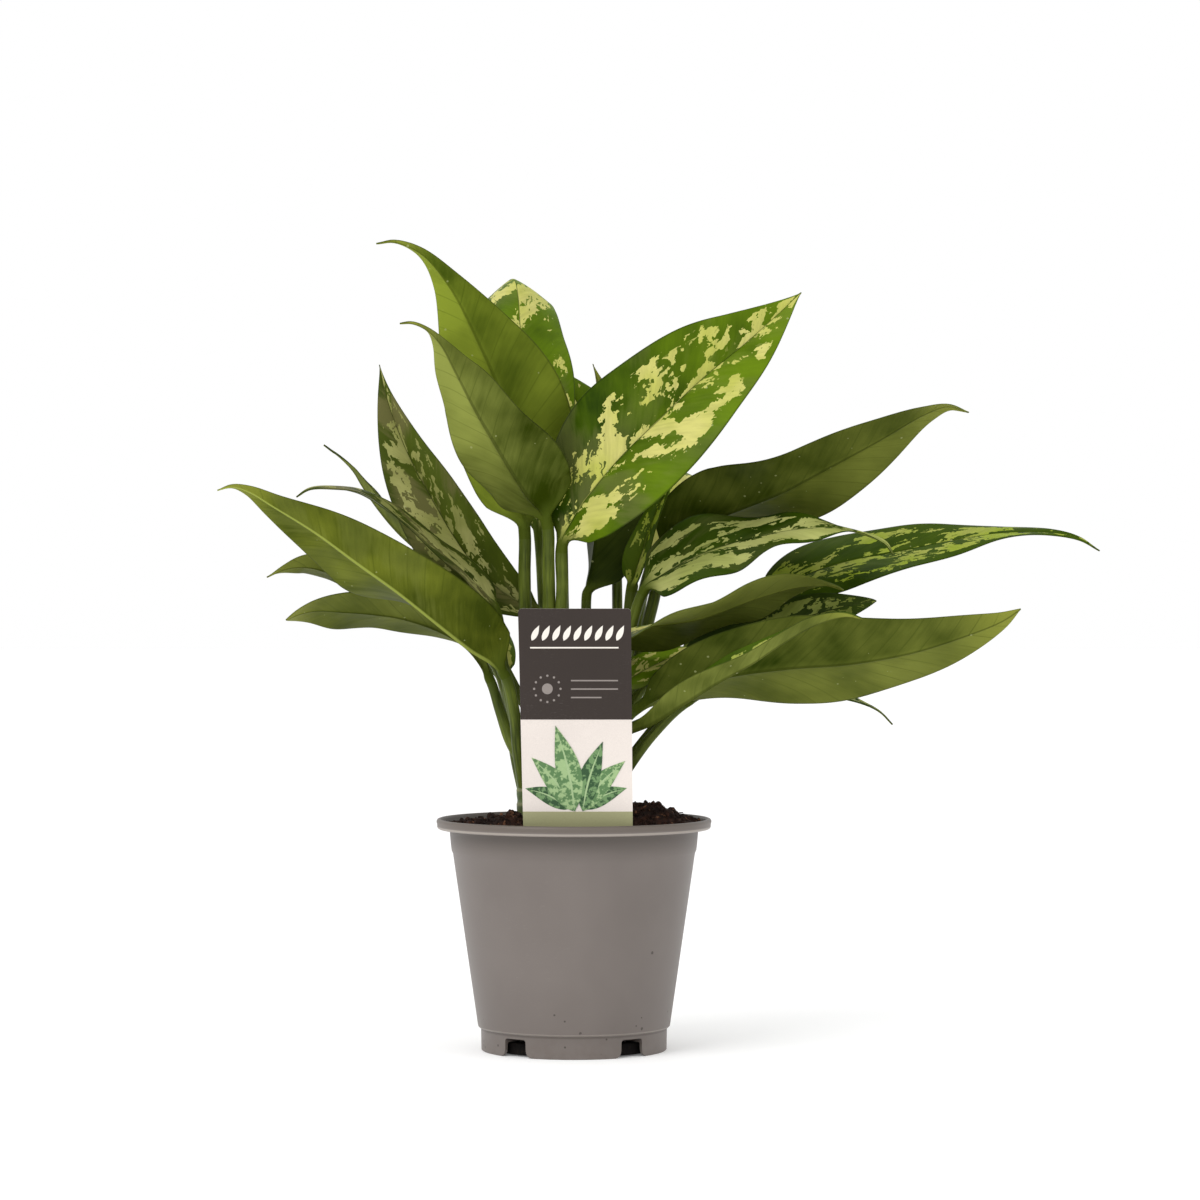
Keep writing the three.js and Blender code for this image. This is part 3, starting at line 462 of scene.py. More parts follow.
# Loose crumbs.
# Crumbs, clods and fibres of the same peat lie loose on the soil. They are strewn only behind the
# tag, so that none stands on its face.
STREWN_FRONT = -44
STREWN_AMOUNTS = {
    "Crumb size": 0.0015, "Crumbs per area": 230000.0, "Clod size": 0.0034,
    "Clods per area": 26000.0, "Fibre length": 0.0085, "Fibres per area": 9000.0,
}


def set_input(modifier, label, value):
    """Sets a tree's named input on its modifier, by the socket's own identifier."""
    for item in modifier.node_group.interface.items_tree:
        if item.item_type == "SOCKET" and item.in_out == "INPUT" and item.name == label:
            modifier[item.identifier] = value


def crumb_tree():
    """Crumbs, clods and fibres strewn over the faces of the piece that carries them."""
    tree = bpy.data.node_groups.new("strewn_peat", "GeometryNodeTree")
    tree.interface.new_socket("Surface", in_out="INPUT", socket_type="NodeSocketGeometry")
    for label in STREWN_AMOUNTS:
        tree.interface.new_socket(label, in_out="INPUT", socket_type="NodeSocketFloat")
    tree.interface.new_socket("Peat", in_out="INPUT", socket_type="NodeSocketMaterial")
    tree.interface.new_socket("Strewn", in_out="OUTPUT", socket_type="NodeSocketGeometry")
    inlet = tree.nodes.new("NodeGroupInput").outputs
    outlet = tree.nodes.new("NodeGroupOutput").inputs
    gather = tree.nodes.new("GeometryNodeJoinGeometry")
    layers = [
        (11, "Crumbs per area", "Crumb size", (1.25, 0.9, 0.75), 2),
        (23, "Clods per area", "Clod size", (1.2, 0.95, 0.8), 3),
        (37, "Fibres per area", "Fibre length", (1, 0.07, 0.07), 1),
    ]
    for seed, density, size, shape, levels in layers:
        points = add_node(tree, "GeometryNodeDistributePointsOnFaces", {
            "Mesh": inlet["Surface"], "Density": inlet[density], "Seed": seed})
        if levels == 1:
            form = add_node(tree, "GeometryNodeMeshCube", {"Size": (1, 1, 1)}).outputs["Mesh"]
        else:
            form = add_node(tree, "GeometryNodeMeshIcoSphere", {
                "Radius": 0.5, "Subdivisions": levels - 1}).outputs["Mesh"]
        turn = add_node(tree, "FunctionNodeRandomValue", data_type="FLOAT_VECTOR")
        turn.inputs[0].default_value = (0, 0, 0) if levels > 1 else (-0.35, -0.35, 0)
        turn.inputs[1].default_value = (6.28, 6.28, 6.28) if levels > 1 else (0.35, 0.35, 6.28)
        turn.inputs["Seed"].default_value = seed + 1
        amount = add_node(tree, "FunctionNodeRandomValue", data_type="FLOAT")
        amount.inputs[2].default_value = 0.45
        amount.inputs[3].default_value = 1.35
        amount.inputs["Seed"].default_value = seed + 2
        scale = add_node(tree, "ShaderNodeMath", {0: amount.outputs[1], 1: inlet[size]},
                         operation="MULTIPLY")
        shaped = add_node(tree, "ShaderNodeVectorMath", {0: shape}, operation="SCALE")
        tree.links.new(scale.outputs[0], shaped.inputs["Scale"])
        placed = add_node(tree, "GeometryNodeInstanceOnPoints", {
            "Points": points.outputs["Points"], "Instance": form,
            "Rotation": turn.outputs[0], "Scale": shaped.outputs[0]})
        real = add_node(tree, "GeometryNodeRealizeInstances", {0: placed.outputs[0]})
        dent = add_node(tree, "ShaderNodeTexNoise", {
            "Vector": add_node(tree, "GeometryNodeInputPosition").outputs[0], "Scale": 900})
        dent_middle = add_node(tree, "ShaderNodeVectorMath", {
            0: dent.outputs["Color"], 1: (0.5, 0.5, 0.5)}, operation="SUBTRACT")
        dent_size = add_node(tree, "ShaderNodeVectorMath", {0: dent_middle.outputs[0]},
                             operation="SCALE")
        share = 0.8 if levels > 1 else 0.15
        reach = add_node(tree, "ShaderNodeMath", {0: inlet[size], 1: share}, operation="MULTIPLY")
        tree.links.new(reach.outputs[0], dent_size.inputs["Scale"])
        moved = add_node(tree, "GeometryNodeSetPosition", {
            "Geometry": real.outputs[0], "Offset": dent_size.outputs[0]})
        tree.links.new(moved.outputs[0], gather.inputs[0])
    final = add_node(tree, "GeometryNodeRealizeInstances", {0: gather.outputs[0]})
    coated = add_node(tree, "GeometryNodeSetMaterial", {
        "Geometry": final.outputs[0], "Material": inlet["Peat"]})
    tree.links.new(coated.outputs[0], outlet[0])
    return tree


strewn_points, strewn_faces = stacked(soil_rings[len(SOIL_SIDE):-1])
strewn_front = at(0, STREWN_FRONT, 0).y
strewn_faces = [face for face in strewn_faces if strewn_points[face[0]].y > strewn_front]
strewn = new_piece("soil_crumbs", strewn_points, strewn_faces)
strewing = strewn.modifiers.new("strewing", "NODES")
strewing.node_group = crumb_tree()
for label, amount in STREWN_AMOUNTS.items():
    set_input(strewing, label, amount)
set_input(strewing, "Peat", peat_material)
plain_mesh(strewn)
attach(strewn, "root")

# Plant tag.
# A smooth printed plastic board on a stake that is pushed into the soil, leaning slightly to the
# front. It carries a plain print of its own: a dark upper panel, a cream lower one, an olive strip.
TAG_THICKNESS = 0.75
TAG_SHOULDER, TAG_DEPTH = 102.8, -46.4
TAG_LEAN = math.radians(3.4)
TAG_HEIGHT = 94.1
TAG_TOP_EDGE = (-23.4, 24.5)
TAG_FOOT_EDGE = (-21.3, 25.3)
TAG_CORNER = 1.6
TAG_STAKE = [(11, -4), (4.5, -37.5), (-0.5, -37.5), (-7, -4)]
PANEL_FOOT = 46.9
STRIP_TOP = 7.6
PRINT_PROUD = 0.09
PRINT_SUNK = 0.02
SUN_PLACE, SUN_RING = (-11, 60), 5.6
TAG_CHARCOAL = (50, 42, 38)
TAG_CREAM = (213, 204, 197)
TAG_OLIVE = (150, 149, 112)
TAG_SCUFF = (200, 195, 190)
TAG_SPECK = (64, 50, 42)


def tag_at(x, height, forward):
    """A place on the tag, from its foot's height up its face and forward of its middle."""
    y = TAG_DEPTH - math.sin(TAG_LEAN) * height - math.cos(TAG_LEAN) * forward
    z = TAG_SHOULDER + math.cos(TAG_LEAN) * height - math.sin(TAG_LEAN) * forward
    return at(x, y, z)


def tag_edges(height):
    """The board's left and right edges at a height."""
    share = height / TAG_HEIGHT
    left = TAG_FOOT_EDGE[0] + (TAG_TOP_EDGE[0] - TAG_FOOT_EDGE[0]) * share
    right = TAG_FOOT_EDGE[1] + (TAG_TOP_EDGE[1] - TAG_FOOT_EDGE[1]) * share
    return left, right


def top_corners(steps=7):
    """The two rounded upper corners of the board, the right one and then the left one."""
    places = []
    for edge, hand, start in ((TAG_TOP_EDGE[1], -1, 0), (TAG_TOP_EDGE[0], 1, 90)):
        cx, cy = edge + hand * TAG_CORNER, TAG_HEIGHT - TAG_CORNER
        for step in range(steps):
            angle = math.radians(start + 90 * step / (steps - 1))
            places.append((cx + TAG_CORNER * math.cos(angle), cy + TAG_CORNER * math.sin(angle)))
    return places


def bar(left, low, width, height=0.6):
    """The outline of a thin printed bar."""
    return [(left, low), (left + width, low), (left + width, low + height), (left, low + height)]


def printed(name, colour, mottle=None, rough=0.36):
    """One printing ink on plastic: its colour or mottled pair, faint print grain, light scuffs."""
    material, tree, shader = new_material(name)
    place = add_node(tree, "ShaderNodeTexCoord").outputs["Object"]
    wear = add_node(tree, "ShaderNodeGroup", {
        "Place": place, "Speck size": 0.003, "Speck share": 0.008, "Scuff size": 0.0016,
    }, node_tree=worn).outputs
    clouds = spread(tree, wear["Clouds"], 0.3, 0.7, -0.06, 0.06)
    grains = spread(tree, grain(tree, place, 2600, 2, 0.6), 0.3, 0.7, -0.05, 0.05)
    light = reckon(tree, "ADD", reckon(tree, "ADD", clouds, grains), 1.0)
    blotches = spread(tree, grain(tree, place, 430, 3, 0.62), 0.47, 0.55)
    ground = mixed(tree, blotches, paint(*colour), paint(*(mottle or colour)))
    shaded = add_node(tree, "ShaderNodeHueSaturation", {"Value": light, "Color": ground}).outputs[0]
    scuffs = reckon(tree, "MULTIPLY", wear["Scuffs"], 0.12)
    scuffed = mixed(tree, scuffs, shaded, paint(*TAG_SCUFF))
    specks = reckon(tree, "MULTIPLY", wear["Specks"], 0.5)
    feed(tree, shader, {
        "Base Color": mixed(tree, specks, scuffed, paint(*TAG_SPECK)),
        "Roughness": spread(tree, wear["Clouds"], 0.3, 0.7, rough - 0.05, rough + 0.06),
        "Specular IOR Level": 0.2,
        "Normal": bump(tree, 0.06, 0.0002, grain(tree, place, 400, 2, 0.5)),
    })
    return material


TAG_INKS = [
    printed("tag_plastic_cream", TAG_CREAM),
    printed("tag_ink_charcoal", TAG_CHARCOAL, rough=0.38),
    printed("tag_ink_olive", TAG_OLIVE),
    printed("tag_ink_deep_green", (48, 78, 48), (104, 136, 90)),
    printed("tag_ink_mid_green", (84, 118, 74), (146, 172, 122)),
    printed("tag_ink_pale_green", (150, 174, 128)),
    printed("tag_ink_ivory", (226, 220, 211)),
    printed("tag_ink_grey", (134, 126, 121)),
]
CREAM, CHARCOAL, OLIVE, DEEP, MIDDLE, PALE, IVORY, GREY = range(8)
tag_points, tag_faces, tag_inks = [], [], []


def on_tag(outline, ink, back, front):
    """Adds one flat shape of the tag, from its back to its front."""
    points, faces = prism(outline, tag_at, back, front)
    start = len(tag_points)
    tag_points.extend(points)
    tag_faces.extend(tuple(start + i for i in face) for face in faces)
    tag_inks.extend([ink] * len(faces))


def leaf_shape(foot, angle, length, width, bend=0.0):
    """The outline of one simple printed leaf, pointed at both ends."""
    outline = []
    shares = np.linspace(0, 1, 15)
    for hand, run in ((1, shares), (-1, shares[::-1][1:-1])):
        for s in run:
            side = hand * width * math.sin(math.pi * s ** 0.8) + bend * math.sin(math.pi * s)
            along = length * s
            x = foot[0] + along * math.sin(angle) + side * math.cos(angle)
            h = foot[1] + along * math.cos(angle) - side * math.sin(angle)
            outline.append((x, h))
    return outline


front = TAG_THICKNESS / 2
behind = front - PRINT_SUNK
foot_left, foot_right = TAG_FOOT_EDGE
board = [(foot_right, 0), *top_corners(), (foot_left, 0), *reversed(TAG_STAKE)]
on_tag(board, CREAM, -front, front)
panel_left, panel_right = tag_edges(PANEL_FOOT)
panel = [(panel_right, PANEL_FOOT), *top_corners(), (panel_left, PANEL_FOOT)]
on_tag(panel, CHARCOAL, behind, front + PRINT_PROUD)
strip_left, strip_right = tag_edges(STRIP_TOP)
strip = [(foot_right, 0), (strip_right, STRIP_TOP), (strip_left, STRIP_TOP), (foot_left, 0)]
on_tag(strip, OLIVE, behind, front + PRINT_PROUD)

# The lower panel's print: a spray of plain pointed leaves with pale midribs, rising from the strip.
SPRAY = [
    ((-2, 8.6), -1.12, 20.5, 3.6, DEEP, 1.6), ((5, 8.6), 1.1, 20, 3.6, DEEP, -1.6),
    ((0, 7.8), -0.66, 29, 4.6, MIDDLE, 1.8), ((4, 7.8), 0.7, 28, 4.4, MIDDLE, -1.8),
    ((4, 7.7), 0.28, 31, 4.6, DEEP, -1.2), ((0.6, 7.7), -0.22, 37.5, 5.4, MIDDLE, 1.2),
]
for level, (foot, angle, length, width, ink, bend) in enumerate(SPRAY):
    proud = front + 0.05 + 0.05 * level
    on_tag(leaf_shape(foot, angle, length, width, bend), ink, behind, proud)
    on_tag(leaf_shape(foot, angle, length * 0.94, width * 0.09, bend), PALE, behind, proud + 0.03)

# The upper panel's print: a border of small ivory leaves over a line, a sun of dots and three bars.
proud = front + PRINT_PROUD + 0.06
for i in range(9):
    on_tag(leaf_shape((-17.6 + 4.5 * i, 80.5), 0.45, 7.2, 1.25), IVORY, front, proud)
on_tag(bar(-18.3, 77.2, 37.5), IVORY, front, proud)
on_tag(disc(SUN_PLACE, 2.3), GREY, front, proud)
for i in range(12):
    turn = math.pi * i / 6
    ray = (SUN_PLACE[0] + SUN_RING * math.cos(turn), SUN_PLACE[1] + SUN_RING * math.sin(turn))
    on_tag(disc(ray, 0.5, 12), GREY, front, proud)
for low, width in ((63.2, 20), (59.6, 20), (56, 13)):
    on_tag(bar(-1, low, width), GREY, front, proud)

tag = new_piece("tag_board", tag_points, tag_faces, TAG_INKS, tag_inks, smooth=False)
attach(tag, "root")
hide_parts("plant_tag")

# Canes.
# Four short fleshy stems stand in the soil, green above and browner at the foot, ringed by the
# scars of shed leaves, and end in a blunt growing point among the leaf stalks.
CANES = [
    ("cane_left", [(-20, -2, 80), (-21, -2, 118), (-21.5, -2, 142)], 3),
    ("cane_back", [(-7, 7, 80), (-9, 8, 120), (-10, 9, 154)], 7),
    ("cane_front", [(3, -5, 80), (3, -5, 120), (4, -5, 150)], 12),
    ("cane_right", [(14, 5, 80), (17, 5, 120), (18, 5, 156)], 19),
]
CANE_FOOT, CANE_TOP = 4.6, 3.5
CANE_RINGS, CANE_SEGMENTS = 84, 32
SCAR_PITCH = 6.2
CANE_DARK = (52, 72, 28)
CANE_LIGHT = (88, 108, 46)
CANE_BROWN = (92, 78, 52)
CANE_STREAK = (38, 48, 22)
SCAR_PALE = (146, 140, 98)
SAMPLES = 40


def unit(vectors):
    """Vectors brought to a length of one."""
    return vectors / np.maximum(np.linalg.norm(vectors, axis=-1, keepdims=True), 1e-9)


def eased(x):
    """A soft step from 0 to 1."""
    q = np.clip(x, 0, 1)
    return q * q * (3 - 2 * q)


def trace_line(points):
    """A smooth line through points, as closely set samples and the length run at each."""
    p = np.array(points, float)
    p = np.vstack([2 * p[0] - p[1], p, 2 * p[-1] - p[-2]])
    samples = []
    for a, b, c, d in zip(p, p[1:], p[2:], p[3:]):
        first, second, third = (np.sqrt(np.linalg.norm(v)) for v in (b - a, c - b, d - c))
        leave = ((b - a) / first - (c - a) / (first + second) + (c - b) / second) * second
        reach = ((c - b) / second - (d - b) / (second + third) + (d - c) / third) * second
        for t in np.arange(SAMPLES) / SAMPLES:
            square = -3 * b + 3 * c - 2 * leave - reach
            cube = 2 * b - 2 * c + leave + reach
            samples.append(b + leave * t + square * t ** 2 + cube * t ** 3)
    samples.append(p[-2])
    samples = np.array(samples)
    steps = np.linalg.norm(np.diff(samples, axis=0), axis=1)
    return samples, np.concatenate([[0], np.cumsum(steps)])


def along_line(line, run):
    """Places at lengths along a traced line."""
    samples, lengths = line
    return np.stack([np.interp(run, lengths, samples[:, k]) for k in range(3)], axis=1)


def sections(line, run, face):
    """Where each section stands, and its upward and sideways directions."""
    along = unit(along_line(line, run + 2) - along_line(line, run - 2))
    up = unit(face - (face * along).sum(axis=1, keepdims=True) * along)
    return along_line(line, run), up, np.cross(along, up)


def set_attribute(mesh, name, kind, values):
    """Stores one value or vector for each point of a mesh."""
    attribute = mesh.attributes.new(name, kind, "POINT")
    key = "vector" if kind == "FLOAT_VECTOR" else "value"
    attribute.data.foreach_set(key, np.asarray(values, np.float32).ravel())


def closed_loft(count, rings):
    """Faces through rings of equal size, closed at both ends."""
    faces = []
    for i in range(rings - 1):
        for j in range(count):
            a, b = i * count + j, i * count + (j + 1) % count
            faces.append((a, b, b + count, a + count))
    faces.append(tuple(range(count - 1, -1, -1)))
    faces.append(tuple(range((rings - 1) * count, rings * count)))
    return faces


def mesh_value(tree, name, output):
    """What a mesh's own attribute says at a point."""
    return add_node(tree, "ShaderNodeAttribute", attribute_name=name).outputs[output]


def cane_skin():
    """Fleshy green skin, browner at the foot, with pale rings of leaf scars."""
    material, tree, shader = new_material("cane_skin")
    place = add_node(tree, "ShaderNodeTexCoord").outputs["Object"]
    mottle = grain(tree, place, 240, 4, 0.6)
    colour = mixed(tree, spread(tree, mottle, 0.35, 0.68), paint(*CANE_DARK), paint(*CANE_LIGHT))
    near_foot = spread(tree, mesh_value(tree, "cane_climb", "Fac"), 0.28, 0.55, 1, 0)
    colour = mixed(tree, reckon(tree, "MULTIPLY", near_foot, 0.6), colour, paint(*CANE_BROWN))
    scars = reckon(tree, "MULTIPLY", mesh_value(tree, "cane_scar", "Fac"), 0.6)
    colour = mixed(tree, scars, colour, paint(*SCAR_PALE))
    streaks = grain(tree, stretched(tree, place, (900, 900, 60)), 1, 3, 0.6)
    feed(tree, shader, {
        "Base Color": mixed(tree, spread(tree, streaks, 0.5, 0.8, 0, 0.3), colour, paint(*CANE_STREAK)),
        "Roughness": spread(tree, mottle, 0.3, 0.7, 0.42, 0.56),
        "Normal": bump(tree, 0.3, 0.0005, streaks),
    })
    return material


cane_material = cane_skin()
for node, cane_points, seed in CANES:
    line = trace_line(cane_points)
    end = line[1][-1]
    climb = np.linspace(0, 1, CANE_RINGS) ** 0.9
    height = climb * end
    middle, up, side = sections(line, height, np.tile((0.0, 1.0, 0.0), (CANE_RINGS, 1)))
    scar = np.exp(-((height + seed) % SCAR_PITCH - SCAR_PITCH / 2) ** 2 / 0.35)
    bulge = 0.22 * scar + 0.16 * np.sin(2 * np.pi * (height + seed) / SCAR_PITCH)
    dome = np.sqrt(np.clip(1 - np.clip((climb - 0.94) / 0.06, 0, 1) ** 2.2, 0.02, 1))
    radius = (CANE_FOOT + (CANE_TOP - CANE_FOOT) * climb + bulge) * dome
    angle = np.linspace(0, 2 * np.pi, CANE_SEGMENTS, endpoint=False)
    oval = 1 + 0.035 * np.sin(2 * angle + seed) + 0.02 * np.sin(5 * angle + 2 * seed)
    ring = radius[:, None] * oval[None, :]
    points = (middle[:, None] + side[:, None] * (ring * np.cos(angle))[..., None]
              + up[:, None] * (ring * np.sin(angle))[..., None])
    places = points.reshape(-1, 3) * MM + np.array(at(0, 0, 0))
    cane = new_piece(f"{node}_stem", places, closed_loft(CANE_SEGMENTS, CANE_RINGS), [cane_material])
    set_attribute(cane.data, "cane_climb", "FLOAT", np.repeat(climb, CANE_SEGMENTS))
    set_attribute(cane.data, "cane_scar", "FLOAT", np.repeat(scar, CANE_SEGMENTS))
    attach(cane, "root")
    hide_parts(node)

# Leaves.
# Each leaf is a grooved green stalk that widens into a thin leathery blade, folded along its
# midrib and waved at its edges. The upper face is green, splashed with cream in angular patches
# that follow the side veins, and the underside is plain olive with a raised rib.
# stalk and rib are the line from the cane to the tip, stem the stalk's radius and width the
# blade's widest half. root and tip shape the outline, face is where the upper face looks, and
# lift is how far the left and right halves rise, at the root and beyond it. The tones run from
# dark to light at the left root, left tip, right root and right tip; besides the leaf's own tone
# they hold painted light and shade, light shining through the blade and shade cast by other
# leaves. A row of LEAVES gives what differs from PLAIN_LEAF.
PLAIN_LEAF = {
    "root": 0.62, "lift": (10, 10, 10, 10), "waves": 2, "phase": 0.2, "upper": "cream",
    "under": "olive", "upper_tone_and_light": (0.4, 0.5, 0.4, 0.5), "under_tone_and_light": (0.5, 0.5, 0.5, 0.5),
    "vein_run": 1.3,
}
